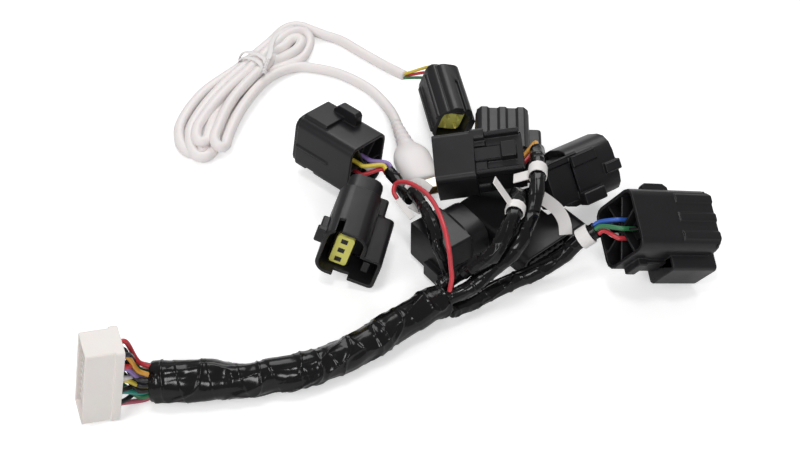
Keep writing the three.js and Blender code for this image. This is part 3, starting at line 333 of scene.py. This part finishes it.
# Plug of the USB lead: a soft white grip moulded over the end of the cord, with a ribbed strain
# relief behind it, and the tan plated edge of its metal shell in front.
PLUG_AT = [-1.6, 55.4, 4.4]
PLUG_TURN = math.radians(-73)
GRIP_LENGTH, GRIP_WIDTH, GRIP_HEIGHT = 23.0, 15.5, 7.6
RELIEF_LENGTH = 14.5
RELIEF_RADIUS = 2.9
RELIEF_RIBS = 5
RIB_DEPTH = 0.5
RELIEF_FLARE = 0.35
SHOULDER_LENGTH = 9.5
NOSE_LENGTH = 7.0


def turned(points, at, turn):
    """Points of a piece's own frame, turned about Z and put in their place on the bench."""
    c, s = math.cos(turn), math.sin(turn)
    spin = np.array([[c, -s, 0], [s, c, 0], [0, 0, 1]])
    return laid(points @ spin.T + np.asarray(at))


def plug_grip():
    """A lofted grip. Across it, each ring is a superellipse, and along it the half-widths run from
    the cord, over the relief's ribs, out in a smooth shoulder and in a little at the front."""
    x = np.concatenate([
        np.linspace(0, RELIEF_LENGTH, 90),
        np.linspace(RELIEF_LENGTH + 0.2, RELIEF_LENGTH + GRIP_LENGTH, 60),
    ])
    shoulder = np.clip((x - RELIEF_LENGTH + 1.0) / SHOULDER_LENGTH, 0, 1)
    shoulder = np.sin(shoulder * np.pi / 2) ** 0.9
    rib = np.where(x < RELIEF_LENGTH, 0.5 - 0.5 * np.cos(2 * np.pi * x * RELIEF_RIBS / RELIEF_LENGTH), 0)
    base = RELIEF_RADIUS * (0.8 + 0.2 * np.clip(x / RELIEF_LENGTH, 0, 1)) - RIB_DEPTH + RIB_DEPTH * rib**0.6
    front = np.clip((x - (RELIEF_LENGTH + GRIP_LENGTH - NOSE_LENGTH)) / NOSE_LENGTH, 0, 1)
    nose = 1 - 0.1 * front**2 - 0.1 * front**12
    flare = base * (1 + RELIEF_FLARE * np.clip(x / RELIEF_LENGTH, 0, 1))
    half_width = (flare + (GRIP_WIDTH / 2 - flare) * shoulder) * nose
    half_height = (base + (GRIP_HEIGHT / 2 - base) * shoulder) * nose
    turn = np.linspace(0, 2 * np.pi, 64, endpoint=False)
    power = (2 / (2 + 0.8 * shoulder))[:, None]
    y = half_width[:, None] * np.sign(np.cos(turn)) * np.abs(np.cos(turn)) ** power
    z = half_height[:, None] * np.sign(np.sin(turn)) * np.abs(np.sin(turn)) ** power
    rings = np.stack([np.broadcast_to(x[:, None], y.shape), y, z], -1)
    return grid_object("usb_plug_grip", turned(rings, PLUG_AT, PLUG_TURN))


grip = dress(plug_grip(), WHITE_JACKET, "white_jacket", "usb_overmould")
SHELL_TAN = finish(
    "tan_plated_shell", (0.55, 0.47, 0.36), (0.62, 0.54, 0.42), 0.3, mottle=90, bump=0.05, Metallic=1.0
)
shell = NODES["usb_shell"]
shell.data.materials.clear()
shell.data.materials.append(SHELL_TAN)


# Taped trunk and branches: PVC tape wound in a half-overlapped helix over bundles of wires. The
# tape is glossy and thin, so it shows the wires as low ridges, its own edges, folds and creases.
def even_noise(u, v, columns, seed):
    """Smooth noise from -1 to 1 over two parameters. It repeats every `columns` cells of v, and
    runs on along u. Each value is a smooth blend of the random values at a cell's four corners."""
    table = np.random.default_rng(seed).uniform(-1, 1, (int(np.ceil(u.max())) + 3, columns))
    i, j = np.floor(u).astype(int), np.floor(v).astype(int)
    a, b = u - i, v - j
    a, b = a * a * (3 - 2 * a), b * b * (3 - 2 * b)
    i = np.clip(i, 0, len(table) - 2)
    j0, j1 = j % columns, (j + 1) % columns
    low = table[i, j0] * (1 - b) + table[i, j1] * b
    high = table[i + 1, j0] * (1 - b) + table[i + 1, j1] * b
    return low * (1 - a) + high * a


WIRE_TWIST_LENGTH = 95
# Creases: the length of a cell along the tape, the cells round it, and the length over which the
# pattern shifts by one cell.
LONG_CREASES = (17, 6, 21)
CROSS_CREASES = (7, 3, 24)
FINE_CREASES = (3.4, 9, 9)
DENTS_ROUND = 4
DENT_LENGTH = 6
EASED_END_LENGTH = 1.2


def creases(s, t, cells, start, seed):
    """Ridges from 0 to 1 along the places where smooth noise passes through nought."""
    length, columns, shift = cells
    return 1 - np.abs(even_noise(s / length + start, t * columns + s / shift, columns, seed))


def taped(name, line, radius, seed, sides=72, pitch=9.5, lap=0.16, fold=0.34, wires=6, swell=0.22):
    """A taped bundle. To the plain radius it adds low ridges for the wires, which twist slowly, a
    step where each turn of tape lies on the last, sharp creases along and across, and dents.
    All are in millimetres."""
    run = np.concatenate([[0], np.cumsum(np.linalg.norm(np.diff(line, axis=0), axis=1))]) * 1000
    turn = np.linspace(0, 1, sides, endpoint=False)
    s, t = np.meshgrid(run, turn, indexing="ij")
    t = t % 1
    wire = np.abs(np.sin(np.pi * (wires * t + s / WIRE_TWIST_LENGTH))) ** 0.7
    wrap = (s / pitch - t) % 1
    edge = lap * (1 - wrap) * np.clip(wrap / 0.03, 0, 1)
    long_crease = creases(s, t, LONG_CREASES, 2, seed)
    cross_crease = creases(s, t, CROSS_CREASES, 1, seed + 1)
    fine_crease = creases(s, t, FINE_CREASES, 0, seed + 2)
    dent = even_noise(s / DENT_LENGTH, t * DENTS_ROUND, DENTS_ROUND, seed + 3)
    relief = fold * (0.9 * long_crease**4 + 0.8 * cross_crease**9 + 0.1 * fine_crease**5)
    relief = relief + 0.5 * fold * dent + swell * (wire - 0.6) + edge - 0.5 * fold
    ease = np.clip(np.minimum(run, run[-1] - run) / EASED_END_LENGTH, 0, 1)[:, None]
    reach = (np.broadcast_to(radius, run.shape)[:, None] * 1000 + relief * ease) / 1000
    return tube(name, line, reach, sides, rounding=0.12)


TRUNK_ROUTE = [
    [-88, -85.4, 8.2], [-77, -85.2, 8], [-65, -84.6, 7.6], [-55, -84, 7], [-46, -82, 7], [-36, -80, 7],
    [-28, -77, 7], [-20, -73, 7.2], [-11, -67, 7.6], [-3, -61, 8.2], [7, -54, 9], [16, -48, 9.5],
]
TRUNK_RADIUS = 0.0062
COLLAR_RADIUS = 0.0074
COLLAR_LENGTH = 0.024
BRANCHES = {
    "branch_right_tape": (0.0032, [
        [18.8, -50.2, 6.3], [27, -45.4, 5.6], [38, -39, 6.4], [50, -34, 9], [60.5, -31.4, 14.6],
        [68, -28.6, 21.6], [73.4, -27.6, 25.8],
    ]),
    "branch_middle_tape": (0.0029, [
        [17.9, -50.5, 13.4], [26, -47, 15.5], [33, -44, 20], [39, -42, 26], [44, -38, 31],
        [47.5, -30, 33], [50.3, -20, 34.4], [52.2, -8, 34.4], [53.2, 3, 33], [53.6, 11, 30.6],
    ]),
    "branch_upper_tape": (0.0029, [
        [15, -44.8, 13], [17.6, -43, 14.2], [22, -42.4, 18], [27, -43.6, 23.4], [33.5, -44, 30],
        [38, -40, 35], [41, -34, 38], [43, -27, 38], [44, -20, 35.5], [44.5, -14, 30.5],
        [46.5, -9, 25], [50.5, -4, 21],
    ]),
    "branch_left_tape": (0.0024, [
        [15, -44.4, 7.2], [17, -41.6, 7.4], [18.4, -38, 10.4], [17.2, -36, 17], [14.5, -34, 23],
        [12.5, -27, 26], [10, -17, 24.5], [7, -6, 21], [5, 0, 19],
    ]),
    "branch_a_tape": (0.0023, [
        [-4.4, 16.6, 14], [-2, 12.6, 13.7], [0.4, 8.2, 13.3], [2.2, 3.4, 13.9], [3.9, -0.8, 15.2],
    ]),
}
BLACK_TAPE = finish(
    "black_pvc_tape", (0.004, 0.0038, 0.0043), (0.007, 0.0066, 0.0075), 0.17, mottle=160,
    grain_scale=700, grain=0.3, spread=0.14,
    bump=0.12, depth=0.0003, Specular_IOR_Level=0.3,
)
trunk_line = smooth_line(laid(TRUNK_ROUTE), 0.00035)
trunk_run = np.linspace(0, line_length(trunk_line), len(trunk_line))
collar = 1 / (1 + np.exp((trunk_run - COLLAR_LENGTH) / 0.0012))
trunk_radius = TRUNK_RADIUS + (COLLAR_RADIUS - TRUNK_RADIUS) * collar
trunk = dress(
    taped(
        "trunk_wrap", trunk_line, trunk_radius, seed=11, sides=120, pitch=11, lap=0.26, fold=0.8,
        wires=7, swell=0.16,
    ),
    BLACK_TAPE,
    "black_tape",
    "trunk_tape",
)
for seed, (node, (radius, route)) in enumerate(BRANCHES.items()):
    line = smooth_line(laid(route), 0.0004)
    wrapped = taped(
        node.replace("_tape", "_wrap"), line, radius, seed=31 + 5 * seed, sides=64, pitch=8,
        fold=0.44, wires=4, swell=0.12
    )
    dress(wrapped, BLACK_TAPE, "black_tape", node)

# Wires: stranded copper in coloured PVC, 1.8 mm thick. One is loose over the pile, and the rest
# run between the taped ends and the backs of their housings.
WIRE_RADIUS = 0.0009
WIRE_COLOURS = {
    "red": (0.62, 0.045, 0.06),
    "orange": (0.74, 0.36, 0.05),
    "yellow": (0.76, 0.6, 0.07),
    "green": (0.035, 0.2, 0.08),
    "teal": (0.04, 0.32, 0.27),
    "blue": (0.035, 0.12, 0.5),
    "purple": (0.3, 0.2, 0.5),
    "pink": (0.5, 0.12, 0.17),
    "white": (0.75, 0.72, 0.7),
    "black": (0.018, 0.017, 0.02),
}
insulation = {
    colour: finish(
        f"{colour}_insulation", rgb, tuple(0.86 * c for c in rgb), 0.33, mottle=120,
        grain_scale=1800, grain=0.3, bump=0.1
    )
    for colour, rgb in WIRE_COLOURS.items()
}
RED_ROUTE = [
    [18.3, -50.3, 17.3], [19, -49, 23], [18.5, -47.5, 28], [18, -46.5, 33], [17, -42, 37],
    [15, -33, 38], [12, -21, 35], [8, -10, 30], [2, -2, 26], [-1.8, 0.2, 22.6], [-2.4, -2.4, 20.8],
    [-1.2, -4.6, 19.8],
]
red_line = smooth_line(laid(RED_ROUTE), 0.0006)
red_wire = dress(tube("red_loose_wire", red_line, WIRE_RADIUS, 20), insulation["red"], "wire_red", "red_wire")


def stand(centre, yaw, pitch, roll):
    """The matrix of a housing's own frame on the bench, from its turns about Z, Y and X."""
    z, y, x = (Matrix.Rotation(math.radians(a), 4, k) for a, k in ((yaw, "Z"), (pitch, "Y"), (roll, "X")))
    return Matrix.Translation(centre) @ z @ y @ x


def from_housing(matrix, points):
    """Points of a housing's own frame as points of the bench layout, in millimetres."""
    m = np.array(matrix)
    return np.asarray(points, float) @ m[:3, :3].T + m[:3, 3]


def fan(route, places, gap, lead):
    """Where wires leave the taped end of a cord: a point ahead of the end and one at it for each."""
    before, last = (np.asarray(p, float) for p in route[-2:])
    out = (last - before) / np.linalg.norm(last - before)
    left = np.cross([0, 0, 1], out)
    left /= np.linalg.norm(left)
    up = np.cross(out, left)
    return [
        [last + out * (gap + lead) + left * u + up * v, last + out * gap + left * u + up * v]
        for u, v in places
    ]


SEAT_DEPTH = 4


def seated_wire(node, colour, housing, place, route, lead=1.8, radius=WIRE_RADIUS):
    """A wire from its seat in a housing, straight out of it, and on to the end of its tape."""
    back = HOUSING_BACKS[housing]
    seat = [[back + SEAT_DEPTH, *place], [back, *place], [back - lead, *place]]
    points = [*from_housing(HOUSINGS[housing], seat), *(np.asarray(p, float) for p in route)]
    line = smooth_line(laid(points), 0.0005)
    piece = tube(node.replace("wire", "lead"), line, radius, 18)
    return dress(piece, insulation[colour], f"wire_{colour}", node)


def five_round(reach, turn):
    """Five places round a circle."""
    angles = [math.radians(turn + 72 * i) for i in range(5)]
    return [(reach * math.cos(angle), reach * math.sin(angle)) for angle in angles]


HOUSINGS = {
    "header": stand([-104.7, -91.9, 19.3], -159.7, -10.3, -2.2),
    "a": stand([-25.4, 30.8, 13.4], 140, -0.8, 11),
    "b": stand([-15.3, -15, 14.6], -101, -4, -107),
    "c": stand([19, 64.7, 9.6], -79, 2.6, -18),
    "d": stand([31.3, 9.7, 25.2], -178.1, 8.9, -15.4),
    "g": stand([97.6, -24.2, 22.4], 18.7, 19.8, 113.8),
}
# The face that the wires enter, on each housing's own X.
HOUSING_BACKS = {"header": -6.75, "a": -14.25, "c": -16, "d": -14.5, "g": -17}
HEADER_COLOURS = ["red", "orange", "green", "purple", "white", "yellow", "black", "teal", "blue", "pink"]
HEADER_PITCH = 3.2
OUTER_CAVITY, OUTER_SPREAD, OUTER_ROW = 2.2, 1.9, 3
for i, colour in enumerate(HEADER_COLOURS):
    x, y, z = TRUNK_ROUTE[0]
    row = 2 - i // 2
    side = y + (-OUTER_SPREAD if i % 2 else OUTER_SPREAD)
    end = [x - 0.4, side, z + row * OUTER_ROW]
    approach = [x - 4, side, end[2] + row * 1.125]
    place = (OUTER_CAVITY if i % 2 else -OUTER_CAVITY, (4.5 - i) * HEADER_PITCH)
    seated_wire(f"header_wire_{colour}", colour, "header", place, [approach, end])
# The real header has about twenty wires. These fill the rows behind the ten of the CAD.
HEADER_INNER_COLOURS = ["black", "black", "red", "black", "white", "black", "black", "green", "black"]
INNER_CAVITY, INNER_SPREAD, INNER_ROW = 2.6, 2.8, 2.6
for i, colour in enumerate(HEADER_INNER_COLOURS):
    drop = 2 - i * 0.5
    end = [x - 0.2, y + (-INNER_SPREAD if i % 2 else INNER_SPREAD), z + drop * INNER_ROW]
    approach = [x - 5, end[1], end[2] + drop]
    place = (-INNER_CAVITY if i % 2 else INNER_CAVITY, (4 - i) * HEADER_PITCH)
    seat = from_housing(HOUSINGS["header"], [[-6.0, *place], [-8.6, *place]])
    inner = smooth_line(laid([*seat, np.array(approach), np.array(end)]), 0.0006)
    dress(tube(f"header_inner_wire_{i}", inner, WIRE_RADIUS, 16), insulation[colour], f"wire_{colour}")
A_ENDS = fan(
    BRANCHES["branch_a_tape"][1][::-1],
    [(1.15, 1.15), (-1.15, 1.15), (-1.15, -1.15), (1.15, -1.15)], 0.4, 2.6
)
for (colour, place), route in zip(
    [("yellow", (3.2, 1.4)), ("purple", (-1.4, 2)), ("white", (-1.4, -2.4)), ("red", (3.2, -3))],
    A_ENDS
):
    seated_wire(f"connector_a_wire_{colour}", colour, "a", place, route)
D_ENDS = fan(BRANCHES["branch_middle_tape"][1], [(-0.6, -1.1), (0.6, 1.1)], 0.5, 4)
for (colour, place), route in zip([("red", (4, 1.5)), ("orange", (0, -0.6))], D_ENDS):
    seated_wire(f"connector_d_wire_{colour}", colour, "d", place, route)
G_ENDS = fan(BRANCHES["branch_right_tape"][1], five_round(1.9, 122), 0.4, 2.2)
for colour, place, route in zip(["green", "red", "white", "black", "blue"], five_round(3.6, 20), G_ENDS):
    seated_wire(f"connector_g_wire_{colour}", colour, "g", place, route, lead=2)
CORE_RADIUS = 0.00065
C_ENDS = [
    ("yellow", (-3, 2.4), [2.2, 87.2, 5]), ("red", (-3, -1), [2.7, 87.6, 3.7]),
    ("green", (-3, -4.4), [1.9, 86.4, 3.4])
]
for colour, place, end in C_ENDS:
    seated_wire(f"usb_core_{colour}", colour, "c", place, [end], radius=CORE_RADIUS)


# Black sealed connectors and the white header: injection-moulded nylon. Every edge has the small
# radius of its mould, and the faces carry a fine spark-eroded grain with a satin sheen.
MERGE_DISTANCE = 2e-6
FLAT_ANGLE = math.radians(0.6)


def eased(node, width=0.0004, angle=33):
    """A copy of a CAD node's solid with its flat facets joined up and its edges rounded."""
    mesh = NODES[node].data.copy()
    work = bmesh.new()
    work.from_mesh(mesh)
    bmesh.ops.remove_doubles(work, verts=work.verts, dist=MERGE_DISTANCE)
    bmesh.ops.dissolve_limit(work, angle_limit=FLAT_ANGLE, verts=work.verts, edges=work.edges)
    work.to_mesh(mesh)
    work.free()
    obj = bpy.data.objects.new(node.replace("_housing", "_shell"), mesh)
    bpy.context.scene.collection.objects.link(obj)
    mesh.polygons.foreach_set("use_smooth", [True] * len(mesh.polygons))
    rounding = obj.modifiers.new("mould_radius", "BEVEL")
    rounding.width = width
    rounding.segments = 2
    rounding.limit_method = "ANGLE"
    rounding.angle_limit = math.radians(angle)
    rounding.use_clamp_overlap = False
    level = obj.modifiers.new("flat_faces", "WEIGHTED_NORMAL")
    level.weight = 100
    return obj


BLACK_NYLON = finish(
    "black_moulded_nylon", (0.0095, 0.009, 0.0103), (0.014, 0.0133, 0.015), 0.36, mottle=110,
    grain_scale=3200, grain=0.5, spread=0.14,
    bump=0.14, Specular_IOR_Level=0.36,
)
for letter in "abcdefghi":
    node = f"connector_{letter}_housing"
    dress(eased(node), BLACK_NYLON, "black_nylon", node)
WHITE_NYLON = finish(
    "white_moulded_nylon", (0.8, 0.76, 0.725), (0.83, 0.79, 0.76), 0.45, mottle=90,
    grain_scale=2600, grain=0.4, bump=0.12,
    Subsurface_Weight=0.15, Subsurface_Scale=0.002,
)
dress(eased("header_housing", 0.00022), WHITE_NYLON, "white_nylon", "header_housing")
YELLOW_NYLON = finish(
    "yellow_terminal_lock", (0.78, 0.74, 0.15), (0.82, 0.78, 0.2), 0.42, mottle=130, grain=0.4, bump=0.12,
    Subsurface_Weight=0.1, Subsurface_Scale=0.0012,
)
for node in ("connector_b_terminal_lock", "connector_c_pin_block"):
    dress(eased(node, 0.00015), YELLOW_NYLON, "yellow_nylon", node)

# Painted shade in connector B's yellow lock: thin dark patches over the mouths of its three ways, standing in
# for the shade deep in the holes.
B_LOCK_FACE = 13.5
B_HOLE_SHADE_ROW = (2.4, -4.1)
B_HOLE_SHADE_PITCH = 4.8
B_HOLE_SHADE_SIZE = (0.3, 2.3, 2.6)
BOX_FACES = [(0, 1, 3, 2), (4, 6, 7, 5), (0, 4, 5, 1), (2, 3, 7, 6), (0, 2, 6, 4), (1, 5, 7, 3)]


def socket(number):
    """A thin dark box on the face of the lock, the painted shade of one hole, from the eight corners of a
    cube scaled to its size.
    """
    cube = np.array([[i, j, k] for i in (-0.5, 0.5) for j in (-0.5, 0.5) for k in (-0.5, 0.5)])
    row, height = B_HOLE_SHADE_ROW
    corners = cube * B_HOLE_SHADE_SIZE + [B_LOCK_FACE - 0.1, row + (number - 1) * B_HOLE_SHADE_PITCH, height]
    mesh = bpy.data.meshes.new(f"connector_b_painted_hole_shade_{number}")
    mesh.from_pydata(laid(from_housing(HOUSINGS["b"], corners)).tolist(), [], BOX_FACES)
    mesh.update()
    obj = bpy.data.objects.new(mesh.name, mesh)
    bpy.context.scene.collection.objects.link(obj)
    return obj


# Three patches of painted hole shade, in the black nylon of the housings.
for number in range(3):
    dress(socket(number), BLACK_NYLON, "black_nylon")

# Paper labels: blank coated paper, folded round the cords with the ends standing out as flags.
PAPER = finish(
    "blank_label_paper", (0.8, 0.775, 0.76), (0.84, 0.815, 0.8), 0.62, mottle=150, grain_scale=1300,
    grain=0.7, bump=0.15
)
for node in (
    "label_right", "label_middle", "label_upper", "label_left", "label_a", "label_red",
    "paper_strap"
):
    dress(eased(node, 0.00008, 60), PAPER, "paper", node)

# Twist tie: a white plastic strip with a wire along its middle. Two turns of it hold the hank, and
# the ends are twisted together, with one left long over the strands.
TIE_BANDS = [
    [
        [-64, 94.6, 0.7], [-69.6, 98.6, 0.5], [-71.2, 98.8, 3.5], [-69.2, 97.9, 8], [-64.6, 96.1, 9.7],
        [-59.6, 92, 9.9], [-58.3, 88.4, 9.4],
    ],
    [
        [-64, 92.6, 0.7], [-70.4, 97, 0.5], [-71.6, 97, 3], [-68.4, 94.2, 8.4], [-63.3, 91.4, 9.6],
        [-60.6, 88.2, 9.3], [-58.9, 87, 6.5], [-58.2, 86.8, 3.2], [-60, 88.8, 0.5], [-64, 92.6, 0.7],
    ],
]
TIE_TAIL = [
    [-59.6, 83.8, 8.4], [-58.7, 87.6, 9.6], [-57.9, 91, 9.9], [-57.1, 96.1, 10], [-56.9, 102.2, 9.8],
    [-55.1, 109.7, 9], [-51.2, 115, 7.8], [-48.5, 118.7, 6.6],
]
TIE_WIDTH = 2.2
TIE_HALF_THICKNESS = 0.16
TIE_RIDGE_HEIGHT = 0.34
TIE_RIDGE_WIDTH = 0.4
TIE_TWIST_LENGTH = 8.0
TIE_TWISTS = 2.5


def tie_strip(name, line, across):
    """A thin strip along a line of points in metres. Each ring is a flat loop, with a rounded ridge
    on both faces for the wire, and its width runs along `across`, made square to the line."""
    along = np.gradient(line, axis=0)
    along /= np.linalg.norm(along, axis=1)[:, None]
    across = across - along * (across * along).sum(axis=1)[:, None]
    across /= np.linalg.norm(across, axis=1)[:, None]
    turn = np.linspace(0, 2 * np.pi, 28, endpoint=False)
    wide = TIE_WIDTH / 2 * np.sign(np.cos(turn)) * np.abs(np.cos(turn)) ** 0.8
    ridge = TIE_RIDGE_HEIGHT * np.exp(-((wide / TIE_RIDGE_WIDTH) ** 2))
    thick = np.sin(turn) * (TIE_HALF_THICKNESS + ridge)
    face = np.cross(along, across)
    rings = line[:, None] + (across[:, None] * wide[:, None] + face[:, None] * thick[:, None]) / 1000
    return grid_object(name, rings)


TIE_WHITE = finish("white_twist_tie", (0.82, 0.79, 0.79), (0.86, 0.83, 0.83), 0.36, mottle=90, bump=0.1)
hank_axis = np.array([math.cos(HANK_TURN), math.sin(HANK_TURN), 0])
for number, route in enumerate(TIE_BANDS):
    line = smooth_line(laid(route), 0.0005)
    band = tie_strip(f"twist_tie_band_{number}", line, np.broadcast_to(hank_axis, line.shape))
    dress(band, TIE_WHITE, "white_tie", *(["twist_tie"] if number == 0 else []))
tail_line = smooth_line(laid(TIE_TAIL), 0.0003)
along, side, up = crossing_frames(tail_line)
tail_run = np.linspace(0, line_length(tail_line) * 1000, len(tail_line))
spin = 2 * np.pi * TIE_TWISTS * np.clip(1 - tail_run / TIE_TWIST_LENGTH, 0, 1)
across = side * np.cos(spin)[:, None] + up * np.sin(spin)[:, None]
dress(tie_strip("twist_tie_tail", tail_line, across), TIE_WHITE, "white_tie")

# Bench and light: a plain pale floor that the camera sees as white, a large soft lamp above and
# behind that gives the tops of the housings their sheen, and weaker ones in front and overhead.
floor_mesh = bpy.data.meshes.new("bench_top")
BENCH_REACH = 3.0
BENCH_DROP = 0.0004
BENCH_LIFT = 0.42
corners = [(i * BENCH_REACH, j * BENCH_REACH, 0) for i, j in ((-1, -1), (1, -1), (1, 1), (-1, 1))]
floor_mesh.from_pydata(corners, [], [(0, 1, 2, 3)])
floor = bpy.data.objects.new("bench_top", floor_mesh)
bpy.context.scene.collection.objects.link(floor)
floor.location.z = -BENCH_DROP
bench, tree, principled = nodes_of("pale_bench")
principled.inputs["Base Color"].default_value = (0.86, 0.86, 0.86, 1)
principled.inputs["Roughness"].default_value = 0.8
principled.inputs["Specular IOR Level"].default_value = 0.1
principled.inputs["Emission Color"].default_value = (1, 1, 1, 1)
seen = tree.nodes.new("ShaderNodeLightPath")
lift = tree.nodes.new("ShaderNodeMath")
lift.operation = "MULTIPLY"
lift.inputs[1].default_value = BENCH_LIFT
tree.links.new(seen.outputs["Is Camera Ray"], lift.inputs[0])
tree.links.new(lift.outputs[0], principled.inputs["Emission Strength"])
floor_mesh.materials.append(bench)

world = bpy.data.worlds.new("studio")
bpy.context.scene.world = world
world.use_nodes = True
sky = world.node_tree.nodes["Background"]
sky.inputs["Color"].default_value = (1, 1, 1, 1)
sky.inputs["Strength"].default_value = 0.3


LAMPS_AIM = Vector((0, 0, 0.01))


def lamp(name, place, size, power):
    """A square soft lamp that points at the middle of the harness. Its place and size are in
    metres and its power in watts."""
    data = bpy.data.lights.new(name, "AREA")
    data.size = size
    data.energy = power
    obj = bpy.data.objects.new(name, data)
    obj.location = Vector(place)
    obj.rotation_euler = (Vector(place) - LAMPS_AIM).to_track_quat("Z", "Y").to_euler()
    bpy.context.scene.collection.objects.link(obj)


lamp("top_back_softbox", (0.1, 0.75, 0.8), 0.6, 4.2)
lamp("front_left_softbox", (-0.6, -0.5, 0.7), 0.4, 2.6)
lamp("front_softbox", (0.15, -0.9, 0.75), 0.3, 3.2)
lamp("overhead_lamp", (-0.05, -0.12, 1.1), 0.2, 2.0)
bpy.context.scene.view_settings.view_transform = "Standard"
